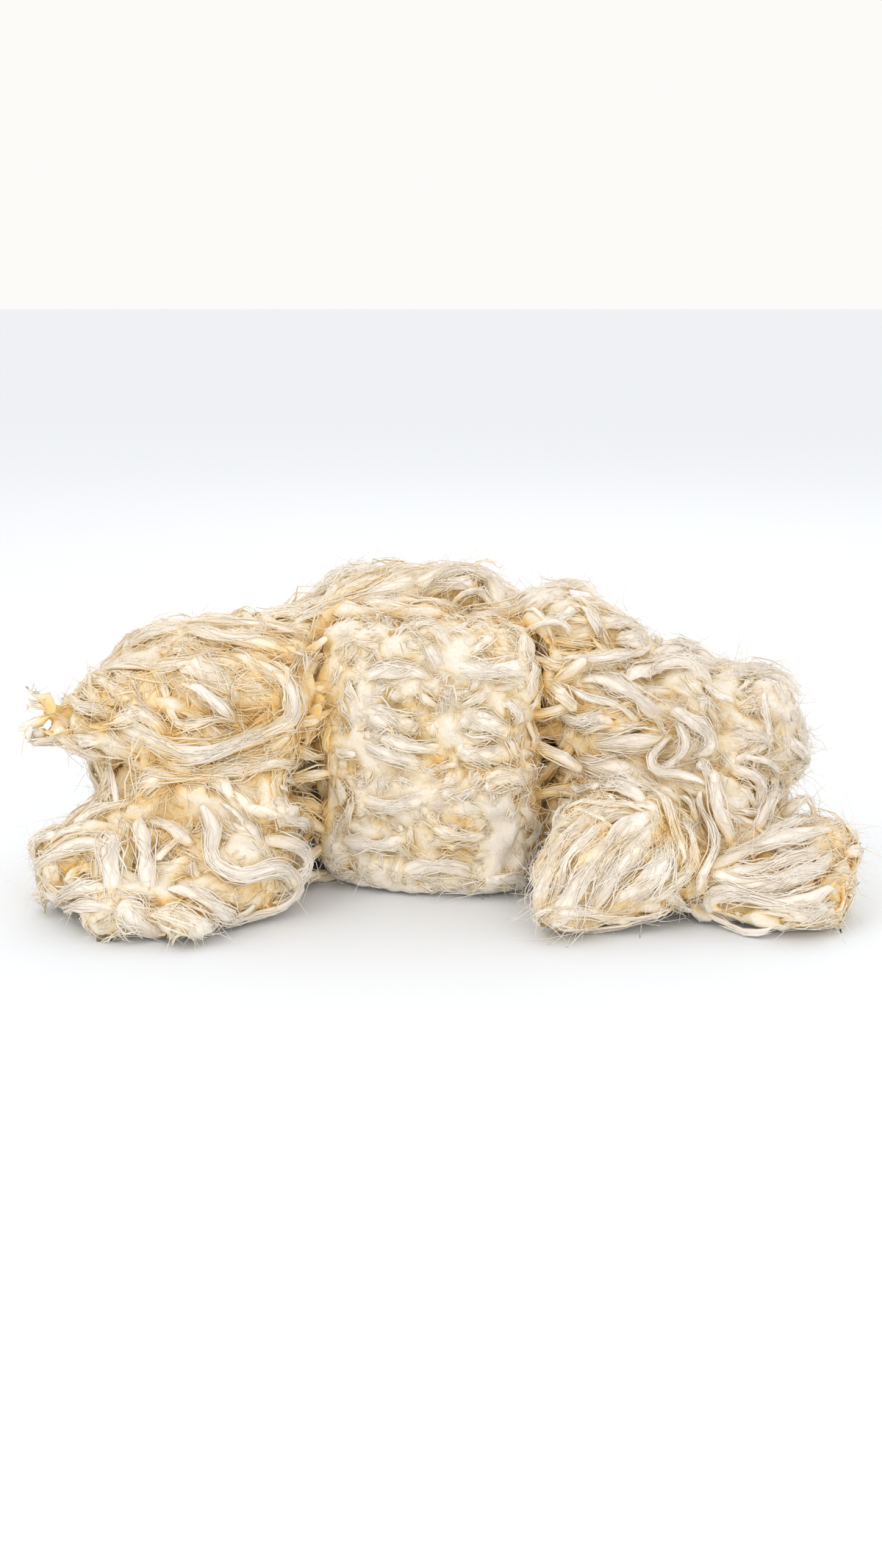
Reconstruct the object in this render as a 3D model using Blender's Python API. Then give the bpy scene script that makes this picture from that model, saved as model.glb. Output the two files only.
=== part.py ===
# A heap of loose wool fleece: soft handfuls of pulled, matted locks piled on each other,
# with one bundle of the same wool, pressed square, standing against the front.
# Metres, +Z up, +X to the right, -Y to the front. The origin is at the floor, in the middle of the heap's box.

import bmesh
import bpy
from mathutils import Euler, Matrix, Vector, noise

# How the wool is shaped
SKIN_VOXEL = 0.0062  # the grain at which puffs of wool run together into one handful
SKIN_SMOOTHING = 5
MATTING_DEPTH = 0.0048  # how far the matted surface rises and falls
MATTING_SIZE = 0.034  # the width of one such rise
HANDFUL_GAP = 0.0009  # clear space kept between a handful and the ones it leans on
BUNDLE_LEAN = 5.0  # degrees that the pressed bundle leans back
BUNDLE_TURN = 11.0  # degrees that its right side stands nearer the front
LOCK_SIDES = 8
LOCK_STEP = 0.006  # the length of one ring of a lock

# The bundle's pressed layers, bottom to top: its own middle height, half its height, and its half width and depth
BUNDLE_FOOT = Vector((-0.010, -0.034, 0.0))
BUNDLE_LAYERS = (
    # height, half_height, half_width, half_depth, sideways
    (0.034, 0.044, 0.099, 0.050, 0.000),
    (0.088, 0.042, 0.103, 0.056, 0.001),
    (0.138, 0.042, 0.105, 0.056, -0.002),
    (0.186, 0.040, 0.105, 0.050, -0.003),
    (0.216, 0.028, 0.099, 0.040, -0.004),
)
BUNDLE_SQUARENESS = 3.6

# Each handful's puffs: place, half sizes, turn about Z and tilt about Y in degrees
PUFFS = {
    "front_tuft": (
        (0.155, -0.128, 0.072, 0.068, 0.050, 0.052, 10, -8),
        (0.124, -0.148, 0.048, 0.050, 0.046, 0.050, 25, 30),
        (0.182, -0.140, 0.050, 0.050, 0.044, 0.040, -20, 0),
        (0.112, -0.180, 0.016, 0.040, 0.030, 0.022, 40, 12),
        (0.150, -0.168, 0.020, 0.050, 0.030, 0.024, 0, 0),
    ),
    "left_foot": (
        (-0.262, -0.108, 0.048, 0.100, 0.090, 0.052, 0, 0),
        (-0.316, -0.094, 0.036, 0.050, 0.058, 0.046, 10, 0),
        (-0.268, -0.174, 0.022, 0.056, 0.048, 0.030, -10, 0),
        (-0.222, -0.186, 0.024, 0.040, 0.038, 0.034, 30, 0),
        (-0.178, -0.118, 0.046, 0.056, 0.070, 0.048, -15, 5),
        (-0.226, -0.086, 0.088, 0.080, 0.062, 0.030, 0, 6),
        (-0.160, -0.088, 0.084, 0.044, 0.050, 0.034, 0, 0),
    ),
    "right_foot": (
        (0.292, -0.122, 0.034, 0.074, 0.050, 0.036, -6, 2),
        (0.332, -0.096, 0.048, 0.040, 0.046, 0.036, 10, -20),
        (0.306, -0.162, 0.018, 0.060, 0.030, 0.026, 4, -4),
        (0.244, -0.140, 0.022, 0.046, 0.040, 0.026, -30, 8),
        (0.268, -0.086, 0.056, 0.056, 0.044, 0.036, 12, 0),
    ),
    "left_crown": (
        (-0.232, -0.012, 0.172, 0.104, 0.094, 0.056, 0, -6),
        (-0.168, 0.020, 0.206, 0.072, 0.072, 0.042, 10, -8),
        (-0.238, 0.030, 0.196, 0.070, 0.070, 0.044, 0, -20),
        (-0.298, -0.022, 0.158, 0.052, 0.060, 0.040, 0, -14),
        (-0.150, -0.020, 0.166, 0.056, 0.062, 0.064, 0, 0),
        (-0.216, -0.062, 0.142, 0.094, 0.054, 0.034, 4, 8),
        (-0.126, 0.040, 0.208, 0.044, 0.058, 0.036, 0, 0),
    ),
    "right_shoulder": (
        (0.266, 0.010, 0.148, 0.074, 0.082, 0.048, 0, 6),
        (0.300, 0.014, 0.126, 0.044, 0.070, 0.056, 0, 0),
        (0.226, -0.014, 0.160, 0.060, 0.062, 0.044, 0, 12),
        (0.296, -0.012, 0.168, 0.040, 0.046, 0.026, 0, -4),
    ),
    "right_crown": (
        (0.134, 0.034, 0.204, 0.062, 0.066, 0.056, 0, 14),
        (0.108, 0.024, 0.226, 0.046, 0.056, 0.040, 0, 4),
        (0.184, 0.020, 0.176, 0.058, 0.066, 0.044, 0, 14),
        (0.160, -0.024, 0.158, 0.070, 0.046, 0.050, 0, 10),
        (0.112, -0.014, 0.190, 0.040, 0.044, 0.040, 0, 0),
    ),
    "back_crest": (
        (-0.036, 0.072, 0.249, 0.054, 0.056, 0.032, 0, 0),
        (0.020, 0.066, 0.248, 0.036, 0.044, 0.030, 0, 10),
        (-0.084, 0.076, 0.236, 0.044, 0.056, 0.034, 0, -10),
        (-0.030, 0.046, 0.224, 0.090, 0.044, 0.028, 0, 2),
        (0.062, 0.064, 0.224, 0.052, 0.056, 0.034, 0, 4),
    ),
    "right_base": (
        (0.200, 0.040, 0.064, 0.104, 0.100, 0.070, 0, 0),
        (0.268, 0.020, 0.070, 0.064, 0.090, 0.060, 0, 0),
        (0.176, -0.040, 0.086, 0.086, 0.060, 0.056, 0, 0),
        (0.248, -0.050, 0.088, 0.064, 0.056, 0.046, 0, 8),
        (0.250, 0.082, 0.044, 0.070, 0.062, 0.050, 20, 0),
        (0.160, 0.084, 0.108, 0.066, 0.058, 0.066, 0, 0),
    ),
    "left_base": (
        (-0.222, 0.040, 0.070, 0.096, 0.092, 0.076, 0, 0),
        (-0.272, 0.012, 0.098, 0.060, 0.070, 0.052, 0, 0),
        (-0.160, 0.020, 0.090, 0.070, 0.066, 0.070, 0, 0),
        (-0.246, 0.090, 0.040, 0.066, 0.054, 0.044, -20, 0),
        (-0.176, 0.084, 0.104, 0.066, 0.062, 0.078, 0, 0),
        (-0.150, 0.110, 0.040, 0.062, 0.048, 0.048, 0, 0),
    ),
    "back_base": (
        (0.000, 0.080, 0.080, 0.120, 0.084, 0.088, 0, 0),
        (-0.070, 0.092, 0.112, 0.096, 0.076, 0.104, 0, 0),
        (0.072, 0.088, 0.108, 0.090, 0.076, 0.098, 0, 0),
        (0.000, 0.084, 0.160, 0.096, 0.070, 0.070, 0, 0),
        (-0.006, 0.132, 0.040, 0.110, 0.056, 0.046, 0, 0),
    ),
}

# Locks thick enough to be part of a handful's shape: its radius, then the points that it runs through
MAIN_LOCKS = {
    "left_crown": (
        (0.0100, (-0.300, -0.040, 0.150), (-0.338, -0.048, 0.146), (-0.374, -0.052, 0.144)),
        (0.0095, (-0.304, -0.036, 0.158), (-0.342, -0.040, 0.164), (-0.370, -0.042, 0.176)),
        (0.0100, (-0.300, -0.070, 0.150), (-0.240, -0.112, 0.132), (-0.176, -0.112, 0.128), (-0.128, -0.080, 0.142)),
    ),
    "right_crown": (
        (0.0095, (0.128, -0.020, 0.240), (0.146, -0.034, 0.222), (0.158, -0.050, 0.200)),
    ),
    "right_foot": (
        (0.0130, (0.236, -0.178, 0.020), (0.290, -0.190, 0.016), (0.346, -0.176, 0.022)),
    ),
    "back_crest": (
        (0.0120, (-0.110, 0.020, 0.240), (-0.040, 0.002, 0.242), (0.028, 0.006, 0.236)),
    ),
}

# Triangles that each handful keeps, and its colour
HANDFUL_TRIANGLES = {
    "bundle": 700,
    "front_tuft": 560,
    "left_foot": 700,
    "right_foot": 560,
    "left_crown": 800,
    "right_shoulder": 560,
    "right_crown": 560,
    "back_crest": 560,
    "right_base": 480,
    "left_base": 420,
    "back_base": 440,
}
CREAM = (0.90, 0.82, 0.66, 1.0)
FLOOR_BLOCK = (1.2, 0.9, 0.2)


def clear_scene():
    for old in list(bpy.data.objects):
        bpy.data.objects.remove(old)


def wool_material():
    wool = bpy.data.materials.new("raw_wool")
    wool.use_nodes = True
    shader = wool.node_tree.nodes["Principled BSDF"]
    shader.inputs["Base Color"].default_value = CREAM
    shader.inputs["Roughness"].default_value = 0.92
    shader.inputs["Metallic"].default_value = 0.0
    return wool


def add_puff(shape, place, half_sizes, turn, squareness=2.0):
    """Adds one closed rounded lump. Squareness 2 is an ellipsoid, and more makes its sides flatter."""
    made = bmesh.ops.create_icosphere(shape, subdivisions=4, radius=1.0)["verts"]
    for vert in made:
        reach = sum(abs(side) ** squareness for side in vert.co) ** (-1 / squareness)
        vert.co = Vector(side * reach * half for side, half in zip(vert.co, half_sizes))
    bmesh.ops.transform(shape, matrix=Matrix.Translation(place) @ turn.to_matrix().to_4x4(), verts=made)


def smooth_path(points):
    """Points a ring apart on the soft curve through the given ones."""
    ends = [2 * points[0] - points[1], *points, 2 * points[-1] - points[-2]]
    path = []
    for before, start, end, after in zip(ends, ends[1:], ends[2:], ends[3:]):
        rings = max(2, round((end - start).length / LOCK_STEP))
        for ring in range(rings):
            t = ring / rings
            path.append(
                0.5 * ((2 * start) + (end - before) * t
                       + (2 * before - 5 * start + 4 * end - after) * t ** 2
                       + (3 * start - before - 3 * end + after) * t ** 3)
            )
    return path + [points[-1].copy()]


def add_lock(shape, radius, points):
    """Adds one closed round lock that thins a little and ends round at its tip."""
    path = smooth_path([Vector(point) for point in points])
    rings = []
    for i, middle in enumerate(path):
        along = (path[min(i + 1, len(path) - 1)] - path[max(i - 1, 0)]).normalized()
        frame = along.to_track_quat("Z", "Y").to_matrix().to_4x4()
        share = i / (len(path) - 1)
        width = radius * (1.05 - 0.25 * share) * min(1.0, 0.45 + 3 * (1 - share), 0.45 + 3 * share)
        ring = bmesh.ops.create_circle(
            shape, segments=LOCK_SIDES, radius=width, matrix=Matrix.Translation(middle) @ frame
        )["verts"]
        rings.append(ring)
    for ring, following in zip(rings, rings[1:]):
        for side in range(LOCK_SIDES):
            other = (side + 1) % LOCK_SIDES
            shape.faces.new((ring[side], ring[other], following[other], following[side]))
    shape.faces.new(reversed(rings[0]))
    shape.faces.new(rings[-1])


def bundle_shape():
    """The pressed bundle: squarish layers of wool on each other, leaning back against the heap."""
    shape = bmesh.new()
    stand = Euler((-math_radians(BUNDLE_LEAN), 0, -math_radians(BUNDLE_TURN)))
    for height, half_height, half_width, half_depth, sideways in BUNDLE_LAYERS:
        middle = BUNDLE_FOOT + stand.to_matrix() @ Vector((sideways, 0, height))
        add_puff(shape, middle, (half_width, half_depth, half_height), stand, BUNDLE_SQUARENESS)
    return shape


def handful_shape(name):
    shape = bmesh.new()
    for x, y, z, half_x, half_y, half_z, turn, tilt in PUFFS[name]:
        pose = Euler((0, math_radians(tilt), math_radians(turn)))
        add_puff(shape, Vector((x, y, z)), (half_x, half_y, half_z), pose)
    for radius, *points in MAIN_LOCKS.get(name, ()):
        add_lock(shape, radius, points)
    return shape


def math_radians(degrees):
    return degrees * 0.017453292519943295


def matted_mesh(name, shape, triangles):
    """Runs the puffs and locks of one handful together into one uneven skin of few triangles."""
    mesh = bpy.data.meshes.new(name)
    bmesh.ops.recalc_face_normals(shape, faces=shape.faces)
    shape.to_mesh(mesh)
    shape.free()
    body = bpy.data.objects.new(name + "_shape", mesh)
    bpy.context.scene.collection.objects.link(body)
    skin = body.modifiers.new("skin", "REMESH")
    skin.mode = "VOXEL"
    skin.voxel_size = SKIN_VOXEL
    soften = body.modifiers.new("soften", "SMOOTH")
    soften.iterations = SKIN_SMOOTHING
    mesh = evaluated_copy(body)
    for vert in mesh.vertices:
        spot = vert.co / MATTING_SIZE
        rise = noise.noise(spot) + 0.5 * noise.noise(spot * 2.1)
        vert.co += vert.normal * rise * MATTING_DEPTH
    body.modifiers.clear()
    body.data = mesh
    mesh.calc_loop_triangles()
    fewer = body.modifiers.new("fewer", "DECIMATE")
    fewer.ratio = triangles / len(mesh.loop_triangles)
    fewer.use_collapse_triangulate = True
    settle = body.modifiers.new("settle", "SMOOTH")
    settle.factor = 0.35
    settle.iterations = 2
    mesh = evaluated_copy(body)
    bpy.data.objects.remove(body)
    return mesh


def evaluated_copy(body):
    graph = bpy.context.evaluated_depsgraph_get()
    return bpy.data.meshes.new_from_object(body.evaluated_get(graph))


def cutter(name, mesh):
    """A helper that only cuts others: it is wider than its handful by the gap all round."""
    wider = mesh.copy()
    for vert, place in zip(wider.vertices, [v.co + v.normal * HANDFUL_GAP for v in mesh.vertices]):
        vert.co = place
    return helper(name, wider)


def floor_cutter():
    """A block under the floor, which gives each handful its flat foot."""
    shape = bmesh.new()
    width, depth, height = FLOOR_BLOCK
    size = Matrix.Diagonal((width, depth, height, 1.0))
    bmesh.ops.create_cube(shape, size=1.0, matrix=Matrix.Translation((0, 0, -height / 2)) @ size)
    mesh = bpy.data.meshes.new("floor")
    shape.to_mesh(mesh)
    shape.free()
    return helper("floor_cutter", mesh)


def helper(name, mesh):
    block = bpy.data.objects.new(name, mesh)
    bpy.context.scene.collection.objects.link(block)
    block.hide_render = True
    block.display_type = "WIRE"
    return block


def cut(body, tool):
    clear = body.modifiers.new("clear_of_" + tool.name, "BOOLEAN")
    clear.operation = "DIFFERENCE"
    clear.object = tool


def build():
    clear_scene()
    wool = wool_material()
    shapes = {"bundle": bundle_shape()}
    shapes.update((name, handful_shape(name)) for name in PUFFS)
    floor = floor_cutter()
    earlier, handfuls = [floor], []
    for name, shape in shapes.items():
        mesh = matted_mesh(name, shape, HANDFUL_TRIANGLES[name])
        mesh.materials.clear()
        mesh.materials.append(wool)
        body = bpy.data.objects.new(name, mesh)
        bpy.context.scene.collection.objects.link(body)
        for tool in earlier:
            cut(body, tool)
        earlier.append(cutter(name + "_cutter", mesh))
        handfuls.append(body)
    centre_on_origin(handfuls)


def centre_on_origin(handfuls):
    """Hangs every handful on one empty, and moves it so that the heap's box is centred on the origin."""
    bpy.context.view_layer.update()
    graph = bpy.context.evaluated_depsgraph_get()
    corners = [Vector(corner) for body in handfuls for corner in body.evaluated_get(graph).bound_box]
    middle = [(min(c[axis] for c in corners) + max(c[axis] for c in corners)) / 2 for axis in range(2)]
    heap = bpy.data.objects.new("heap", None)
    bpy.context.scene.collection.objects.link(heap)
    heap.location = (-middle[0], -middle[1], 0)
    for body in bpy.data.objects:
        if body.type == "MESH":
            body.parent = heap


build()
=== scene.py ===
import math

import bmesh
import bpy
import numpy as np
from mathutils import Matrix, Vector, kdtree, noise
from mathutils.bvhtree import BVHTree


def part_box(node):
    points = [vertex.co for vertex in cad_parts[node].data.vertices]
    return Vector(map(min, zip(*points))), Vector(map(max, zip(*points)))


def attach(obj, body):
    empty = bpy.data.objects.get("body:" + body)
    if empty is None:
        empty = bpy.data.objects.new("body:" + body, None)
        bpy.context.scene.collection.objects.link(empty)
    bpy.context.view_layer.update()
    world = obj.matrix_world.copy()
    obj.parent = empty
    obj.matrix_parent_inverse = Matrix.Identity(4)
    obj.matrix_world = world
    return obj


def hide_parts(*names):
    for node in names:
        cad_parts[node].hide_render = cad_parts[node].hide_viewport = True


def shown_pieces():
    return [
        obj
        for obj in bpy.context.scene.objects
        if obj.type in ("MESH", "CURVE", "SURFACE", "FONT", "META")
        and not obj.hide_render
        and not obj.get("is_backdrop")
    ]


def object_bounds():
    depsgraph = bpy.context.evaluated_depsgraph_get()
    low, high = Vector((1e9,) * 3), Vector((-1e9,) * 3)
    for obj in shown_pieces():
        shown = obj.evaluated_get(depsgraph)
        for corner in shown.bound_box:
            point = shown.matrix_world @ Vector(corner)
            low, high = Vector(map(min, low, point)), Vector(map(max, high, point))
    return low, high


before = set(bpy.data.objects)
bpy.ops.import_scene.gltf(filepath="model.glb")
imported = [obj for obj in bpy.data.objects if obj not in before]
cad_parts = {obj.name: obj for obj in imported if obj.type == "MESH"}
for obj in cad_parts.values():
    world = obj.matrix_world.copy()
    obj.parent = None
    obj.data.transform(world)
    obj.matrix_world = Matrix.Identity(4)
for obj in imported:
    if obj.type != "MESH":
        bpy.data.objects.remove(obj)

for leftover in ("Cube", "Light", "Camera"):  # a new Blender file's own objects
    if leftover in bpy.data.objects:
        bpy.data.objects.remove(bpy.data.objects[leftover])
cadBox = [list(corner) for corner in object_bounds()]
rng = np.random.default_rng(71)
noise.seed_set(71)  # or the noise would change from one run to the next
handfuls = sorted(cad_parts)
groups = {
    # matting: the handfuls whose wool it holds together
    "heap": [name for name in handfuls if name != "bundle"],
    "bundle": ["bundle"],
}

view = {
    "target": (0.0, 0.0, 0.091),
    "distance": 2.1,
    "elevation": 15.0,  # degrees above level
    "lens": 52.6,
}


def aimAt(obj, target):
    obj.rotation_euler = (Vector(target) - obj.location).to_track_quat("-Z", "Y").to_euler()


def makeCamera():
    camera = bpy.data.objects.new("view", bpy.data.cameras.new("view"))
    bpy.context.scene.collection.objects.link(camera)
    camera.data.lens = view["lens"]
    tilt = math.radians(view["elevation"])
    away = Vector((0, -math.cos(tilt), math.sin(tilt)))
    camera.location = Vector(view["target"]) + view["distance"] * away
    aimAt(camera, view["target"])
    bpy.context.scene.camera = camera


studio = {
    "floorColour": (0.865, 0.90, 0.95),
    "floorRoughness": 0.6,
    "floorReach": 9.0,
    "skyColour": (1.0, 0.985, 0.965),
    "skyStrength": 0.98,
    "lamps": {
        # name: place, aim, width, watts, colour
        "keyLamp": ((-1.6, -1.3, 1.9), (0.0, 0.0, 0.1), 1.3, 9.0, (1.0, 0.965, 0.91)),
        "fillLamp": ((0.4, -2.4, 0.8), (0.0, 0.0, 0.1), 1.6, 11.0, (1.0, 0.97, 0.93)),
        "backLamp": ((0.3, 1.7, 1.9), (0.0, 0.1, 0.1), 1.6, 9.0, (1.0, 0.97, 0.93)),
    },
}


def makeStudio():
    reach = studio["floorReach"]
    mesh = bpy.data.meshes.new("floor")
    corners = [(-reach, -reach, 0), (reach, -reach, 0), (reach, reach, 0), (-reach, reach, 0)]
    mesh.from_pydata(corners, [], [(0, 1, 2, 3)])
    floor = bpy.data.objects.new("floor", mesh)
    bpy.context.scene.collection.objects.link(floor)
    card = bpy.data.materials.new("floorCard")
    card.use_nodes = True
    shader = card.node_tree.nodes["Principled BSDF"]
    shader.inputs["Base Color"].default_value = (*studio["floorColour"], 1.0)
    shader.inputs["Roughness"].default_value = studio["floorRoughness"]
    mesh.materials.append(card)
    floor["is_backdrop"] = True
    world = bpy.data.worlds.new("sky")
    bpy.context.scene.world = world
    world.use_nodes = True
    sky = world.node_tree.nodes["Background"]
    sky.inputs["Color"].default_value = (*studio["skyColour"], 1.0)
    sky.inputs["Strength"].default_value = studio["skyStrength"]
    for name, (place, aim, width, watts, colour) in studio["lamps"].items():
        lamp = bpy.data.objects.new(name, bpy.data.lights.new(name, "AREA"))
        lamp.data.size = width
        lamp.data.energy = watts
        lamp.data.color = colour
        lamp.location = place
        aimAt(lamp, aim)
        bpy.context.scene.collection.objects.link(lamp)
    bpy.context.scene.view_settings.view_transform = "Standard"


woolFinish = {
    "Roughness": 0.9,
    "Sheen Weight": 0.04,
    "Sheen Roughness": 0.6,
    "Sheen Tint": (1.0, 0.94, 0.84, 1.0),
    "Specular IOR Level": 0.03,
}
woolGrain = {
    "streaks": (330.0, 1250.0),  # broad and fine, to a metre
    "streakDetail": (3.0, 0.65),  # noise detail and roughness
    "streakShade": (0.94, 1.05),
    "streakRelief": 0.00018,
    "stretch": 0.05,  # how much the streaks are drawn out along a strand
    "felt": 330.0,
    "feltDetail": (4.0, 0.7),
    "feltTwist": 0.8,
    "feltRelief": {"matting": 0.0022, "locks": 0.0005},
}


def addNoise(tree, vector, scale, detail):
    made = tree.nodes.new("ShaderNodeTexNoise")
    made.inputs["Scale"].default_value = scale
    made.inputs["Detail"].default_value, made.inputs["Roughness"].default_value = detail
    tree.links.new(vector, made.inputs["Vector"])
    return made


def addBump(tree, height, strength, distance):
    made = tree.nodes.new("ShaderNodeBump")
    made.inputs["Strength"].default_value = strength
    made.inputs["Distance"].default_value = distance
    tree.links.new(height, made.inputs["Height"])
    return made


def addAttribute(tree, name):
    made = tree.nodes.new("ShaderNodeAttribute")
    made.attribute_name = name
    return made


def woolMaterial(name, along):
    # along: the streaks follow each lock's own grain; otherwise the fibres lie in all directions
    wool = bpy.data.materials.new(name)
    wool.use_nodes = True
    tree = wool.node_tree
    shader = tree.nodes["Principled BSDF"]
    for socket, value in woolFinish.items():
        shader.inputs[socket].default_value = value
    place = tree.nodes.new("ShaderNodeTexCoord").outputs["Object"]
    grain = addAttribute(tree, "grain").outputs["Vector"] if along else place
    streaks = [addNoise(tree, grain, scale, woolGrain["streakDetail"]) for scale in woolGrain["streaks"]]
    both = tree.nodes.new("ShaderNodeMath")
    both.operation = "ADD"
    for streak, socket in zip(streaks, both.inputs):
        tree.links.new(streak.outputs["Fac"], socket)
    shade = tree.nodes.new("ShaderNodeMapRange")
    shade.inputs["From Min"].default_value, shade.inputs["From Max"].default_value = 0.72, 1.22
    shade.inputs["To Min"].default_value, shade.inputs["To Max"].default_value = woolGrain["streakShade"]
    tree.links.new(both.outputs["Value"], shade.inputs["Value"])
    tinted = tree.nodes.new("ShaderNodeVectorMath")
    tinted.operation = "SCALE"
    tree.links.new(addAttribute(tree, "woolColour").outputs["Color"], tinted.inputs[0])
    tree.links.new(shade.outputs["Result"], tinted.inputs["Scale"])
    tree.links.new(tinted.outputs["Vector"], shader.inputs["Base Color"])
    felt = addNoise(tree, place, woolGrain["felt"], woolGrain["feltDetail"])
    felt.inputs["Distortion"].default_value = woolGrain["feltTwist"]
    feltRelief = woolGrain["feltRelief"]["locks" if along else "matting"]
    coarse = addBump(tree, felt.outputs["Fac"], 0.6, feltRelief)
    fine = addBump(tree, both.outputs["Value"], 0.8, woolGrain["streakRelief"])
    tree.links.new(coarse.outputs["Normal"], fine.inputs["Normal"])
    tree.links.new(fine.outputs["Normal"], shader.inputs["Normal"])
    return wool


def meshArrays(mesh):
    mesh.calc_loop_triangles()
    places = np.empty(len(mesh.vertices) * 3, np.float32)
    mesh.vertices.foreach_get("co", places)
    triangles = np.empty(len(mesh.loop_triangles) * 3, np.int32)
    mesh.loop_triangles.foreach_get("vertices", triangles)
    return places.reshape(-1, 3).astype(float), triangles.reshape(-1, 3)


def normalArray(mesh):
    normals = np.empty(len(mesh.vertices) * 3, np.float32)
    mesh.vertices.foreach_get("normal", normals)
    return normals.reshape(-1, 3).astype(float)


def setPlaces(mesh, places):
    mesh.vertices.foreach_set("co", places.astype(np.float32).ravel())
    mesh.update()


def weldedCopy(nodeNames, grow=0.0):
    # one mesh of these solids with their seams closed, each grown outward a little
    joined = bmesh.new()
    for name in nodeNames:
        part = bmesh.new()
        part.from_mesh(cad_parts[name].data)
        bmesh.ops.remove_doubles(part, verts=part.verts, dist=0.00001)
        bmesh.ops.recalc_face_normals(part, faces=part.faces)
        part.normal_update()
        piece = bpy.data.meshes.new("piece")
        part.to_mesh(piece)
        part.free()
        setPlaces(piece, meshArrays(piece)[0] + normalArray(piece) * grow)
        joined.from_mesh(piece)
        bpy.data.meshes.remove(piece)
    mesh = bpy.data.meshes.new("welded")
    joined.to_mesh(mesh)
    joined.free()
    return mesh


def remeshed(mesh, voxel, smoothing):
    body = bpy.data.objects.new("remeshing", mesh)
    bpy.context.scene.collection.objects.link(body)
    fused = body.modifiers.new("fused", "REMESH")
    fused.mode = "VOXEL"
    fused.voxel_size = voxel
    soften = body.modifiers.new("soften", "SMOOTH")
    soften.iterations = smoothing
    graph = bpy.context.evaluated_depsgraph_get()
    made = bpy.data.meshes.new_from_object(body.evaluated_get(graph))
    bpy.data.objects.remove(body)
    return made


def treeOf(mesh):
    places, triangles = meshArrays(mesh)
    return BVHTree.FromPolygons([Vector(p) for p in places], [tuple(int(i) for i in t) for t in triangles])


def unit(vectors):
    return vectors / np.maximum(np.linalg.norm(vectors, axis=-1, keepdims=True), 1e-9)


def softened(rows, times):
    rows = rows.copy()
    for _ in range(times):
        rows[1:-1] = rows[1:-1] * 0.5 + (rows[:-2] + rows[2:]) * 0.25
    return rows


def frontPlace(tree, across, up):
    # the place on this surface that shows at these shares of the heap's width and height from the front
    low, high = Vector(cadBox[0]), Vector(cadBox[1])
    aim = Vector((low.x + across * (high.x - low.x), 0.0, low.z + up * (high.z - low.z)))
    start = bpy.context.scene.camera.location
    heading = (aim - start).normalized()
    return start, heading, tree.ray_cast(start, heading)


# how the outer surface rises in puffs and sinks in creases between them, in metres
relief = {
    "heap": {
        "grow": 0.008,
        "shrink": 0.0125,
        "voxel": 0.0060,
        "puffSize": (0.048, 0.048, 0.040),
        "puffHeight": 0.016,
        "creaseDepth": 0.0115,
        "lumpSize": 0.017,
        "lumpHeight": 0.0036,
    },
    "bundle": {
        "grow": 0.001,
        "shrink": 0.0,
        "voxel": 0.0048,
        "puffSize": (0.048, 0.048, 0.040),
        "puffHeight": 0.009,
        "creaseDepth": 0.0060,
        "lumpSize": 0.014,
        "lumpHeight": 0.0024,
    },
}
puffing = {
    "smoothing": 6,  # rounds after the remesh
    "winding": (0.9, 0.45),  # how often and how far the creases wind
    "fullness": 2.6,
    "roundness": 0.6,
    # shares of the wool's thickness, so that thin tips aren't turned inside out
    "shrinkLimit": 0.25,
    "sinkLimit": 0.2,
    "footHeight": 0.006,  # below this the relief has only its foot share
    "footShare": 0.3,
    "lowest": 0.0006,
}


def reliefAt(place, shape):
    # how far the wool stands off its plain outline here
    often, far = puffing["winding"]
    puff = Vector(side / size for side, size in zip(place, shape["puffSize"]))
    puff += noise.noise_vector(puff * often) * far
    billow = min(1.0, abs(noise.noise(puff)) * puffing["fullness"]) ** puffing["roundness"]
    lump = noise.noise(place / shape["lumpSize"]) * shape["lumpHeight"]
    return shape["puffHeight"] * billow - shape["creaseDepth"] + lump


def thicknessOf(mesh):
    # how thick the wool is under each place of its surface
    tree = treeOf(mesh)
    found = []
    for place, normal in zip(meshArrays(mesh)[0], normalArray(mesh)):
        through = tree.ray_cast(Vector(place - normal * 0.0005), Vector(-normal))[3]
        found.append(0.1 if through is None else through)
    return np.array(found)


def plainSurface(name):
    shape = relief[name]
    mesh = remeshed(weldedCopy(groups[name], shape["grow"]), shape["voxel"], puffing["smoothing"])
    shrinks = np.minimum(shape["shrink"], thicknessOf(mesh) * puffing["shrinkLimit"])
    setPlaces(mesh, meshArrays(mesh)[0] - normalArray(mesh) * shrinks[:, None])
    return mesh


def puffedSurface(name):
    mesh = plainSurface(name)
    tree = treeOf(mesh)
    places, normals = meshArrays(mesh)[0], normalArray(mesh)
    rises = np.array([reliefAt(Vector(place), relief[name]) for place in places])
    for across, up, width, depth in hollows[name]:
        hit = frontPlace(tree, across, up)[2][0]
        if hit is None:
            continue
        away = np.linalg.norm(places - np.array(hit), axis=1)
        rises -= depth * np.exp(-(away / (width * 0.5)) ** 2)
    rises = np.maximum(rises, -puffing["sinkLimit"] * thicknessOf(mesh))
    rises[places[:, 2] < puffing["footHeight"]] *= puffing["footShare"]
    places += normals * rises[:, None]
    places[:, 2] = np.maximum(places[:, 2], puffing["lowest"])
    setPlaces(mesh, places)
    return mesh


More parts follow.
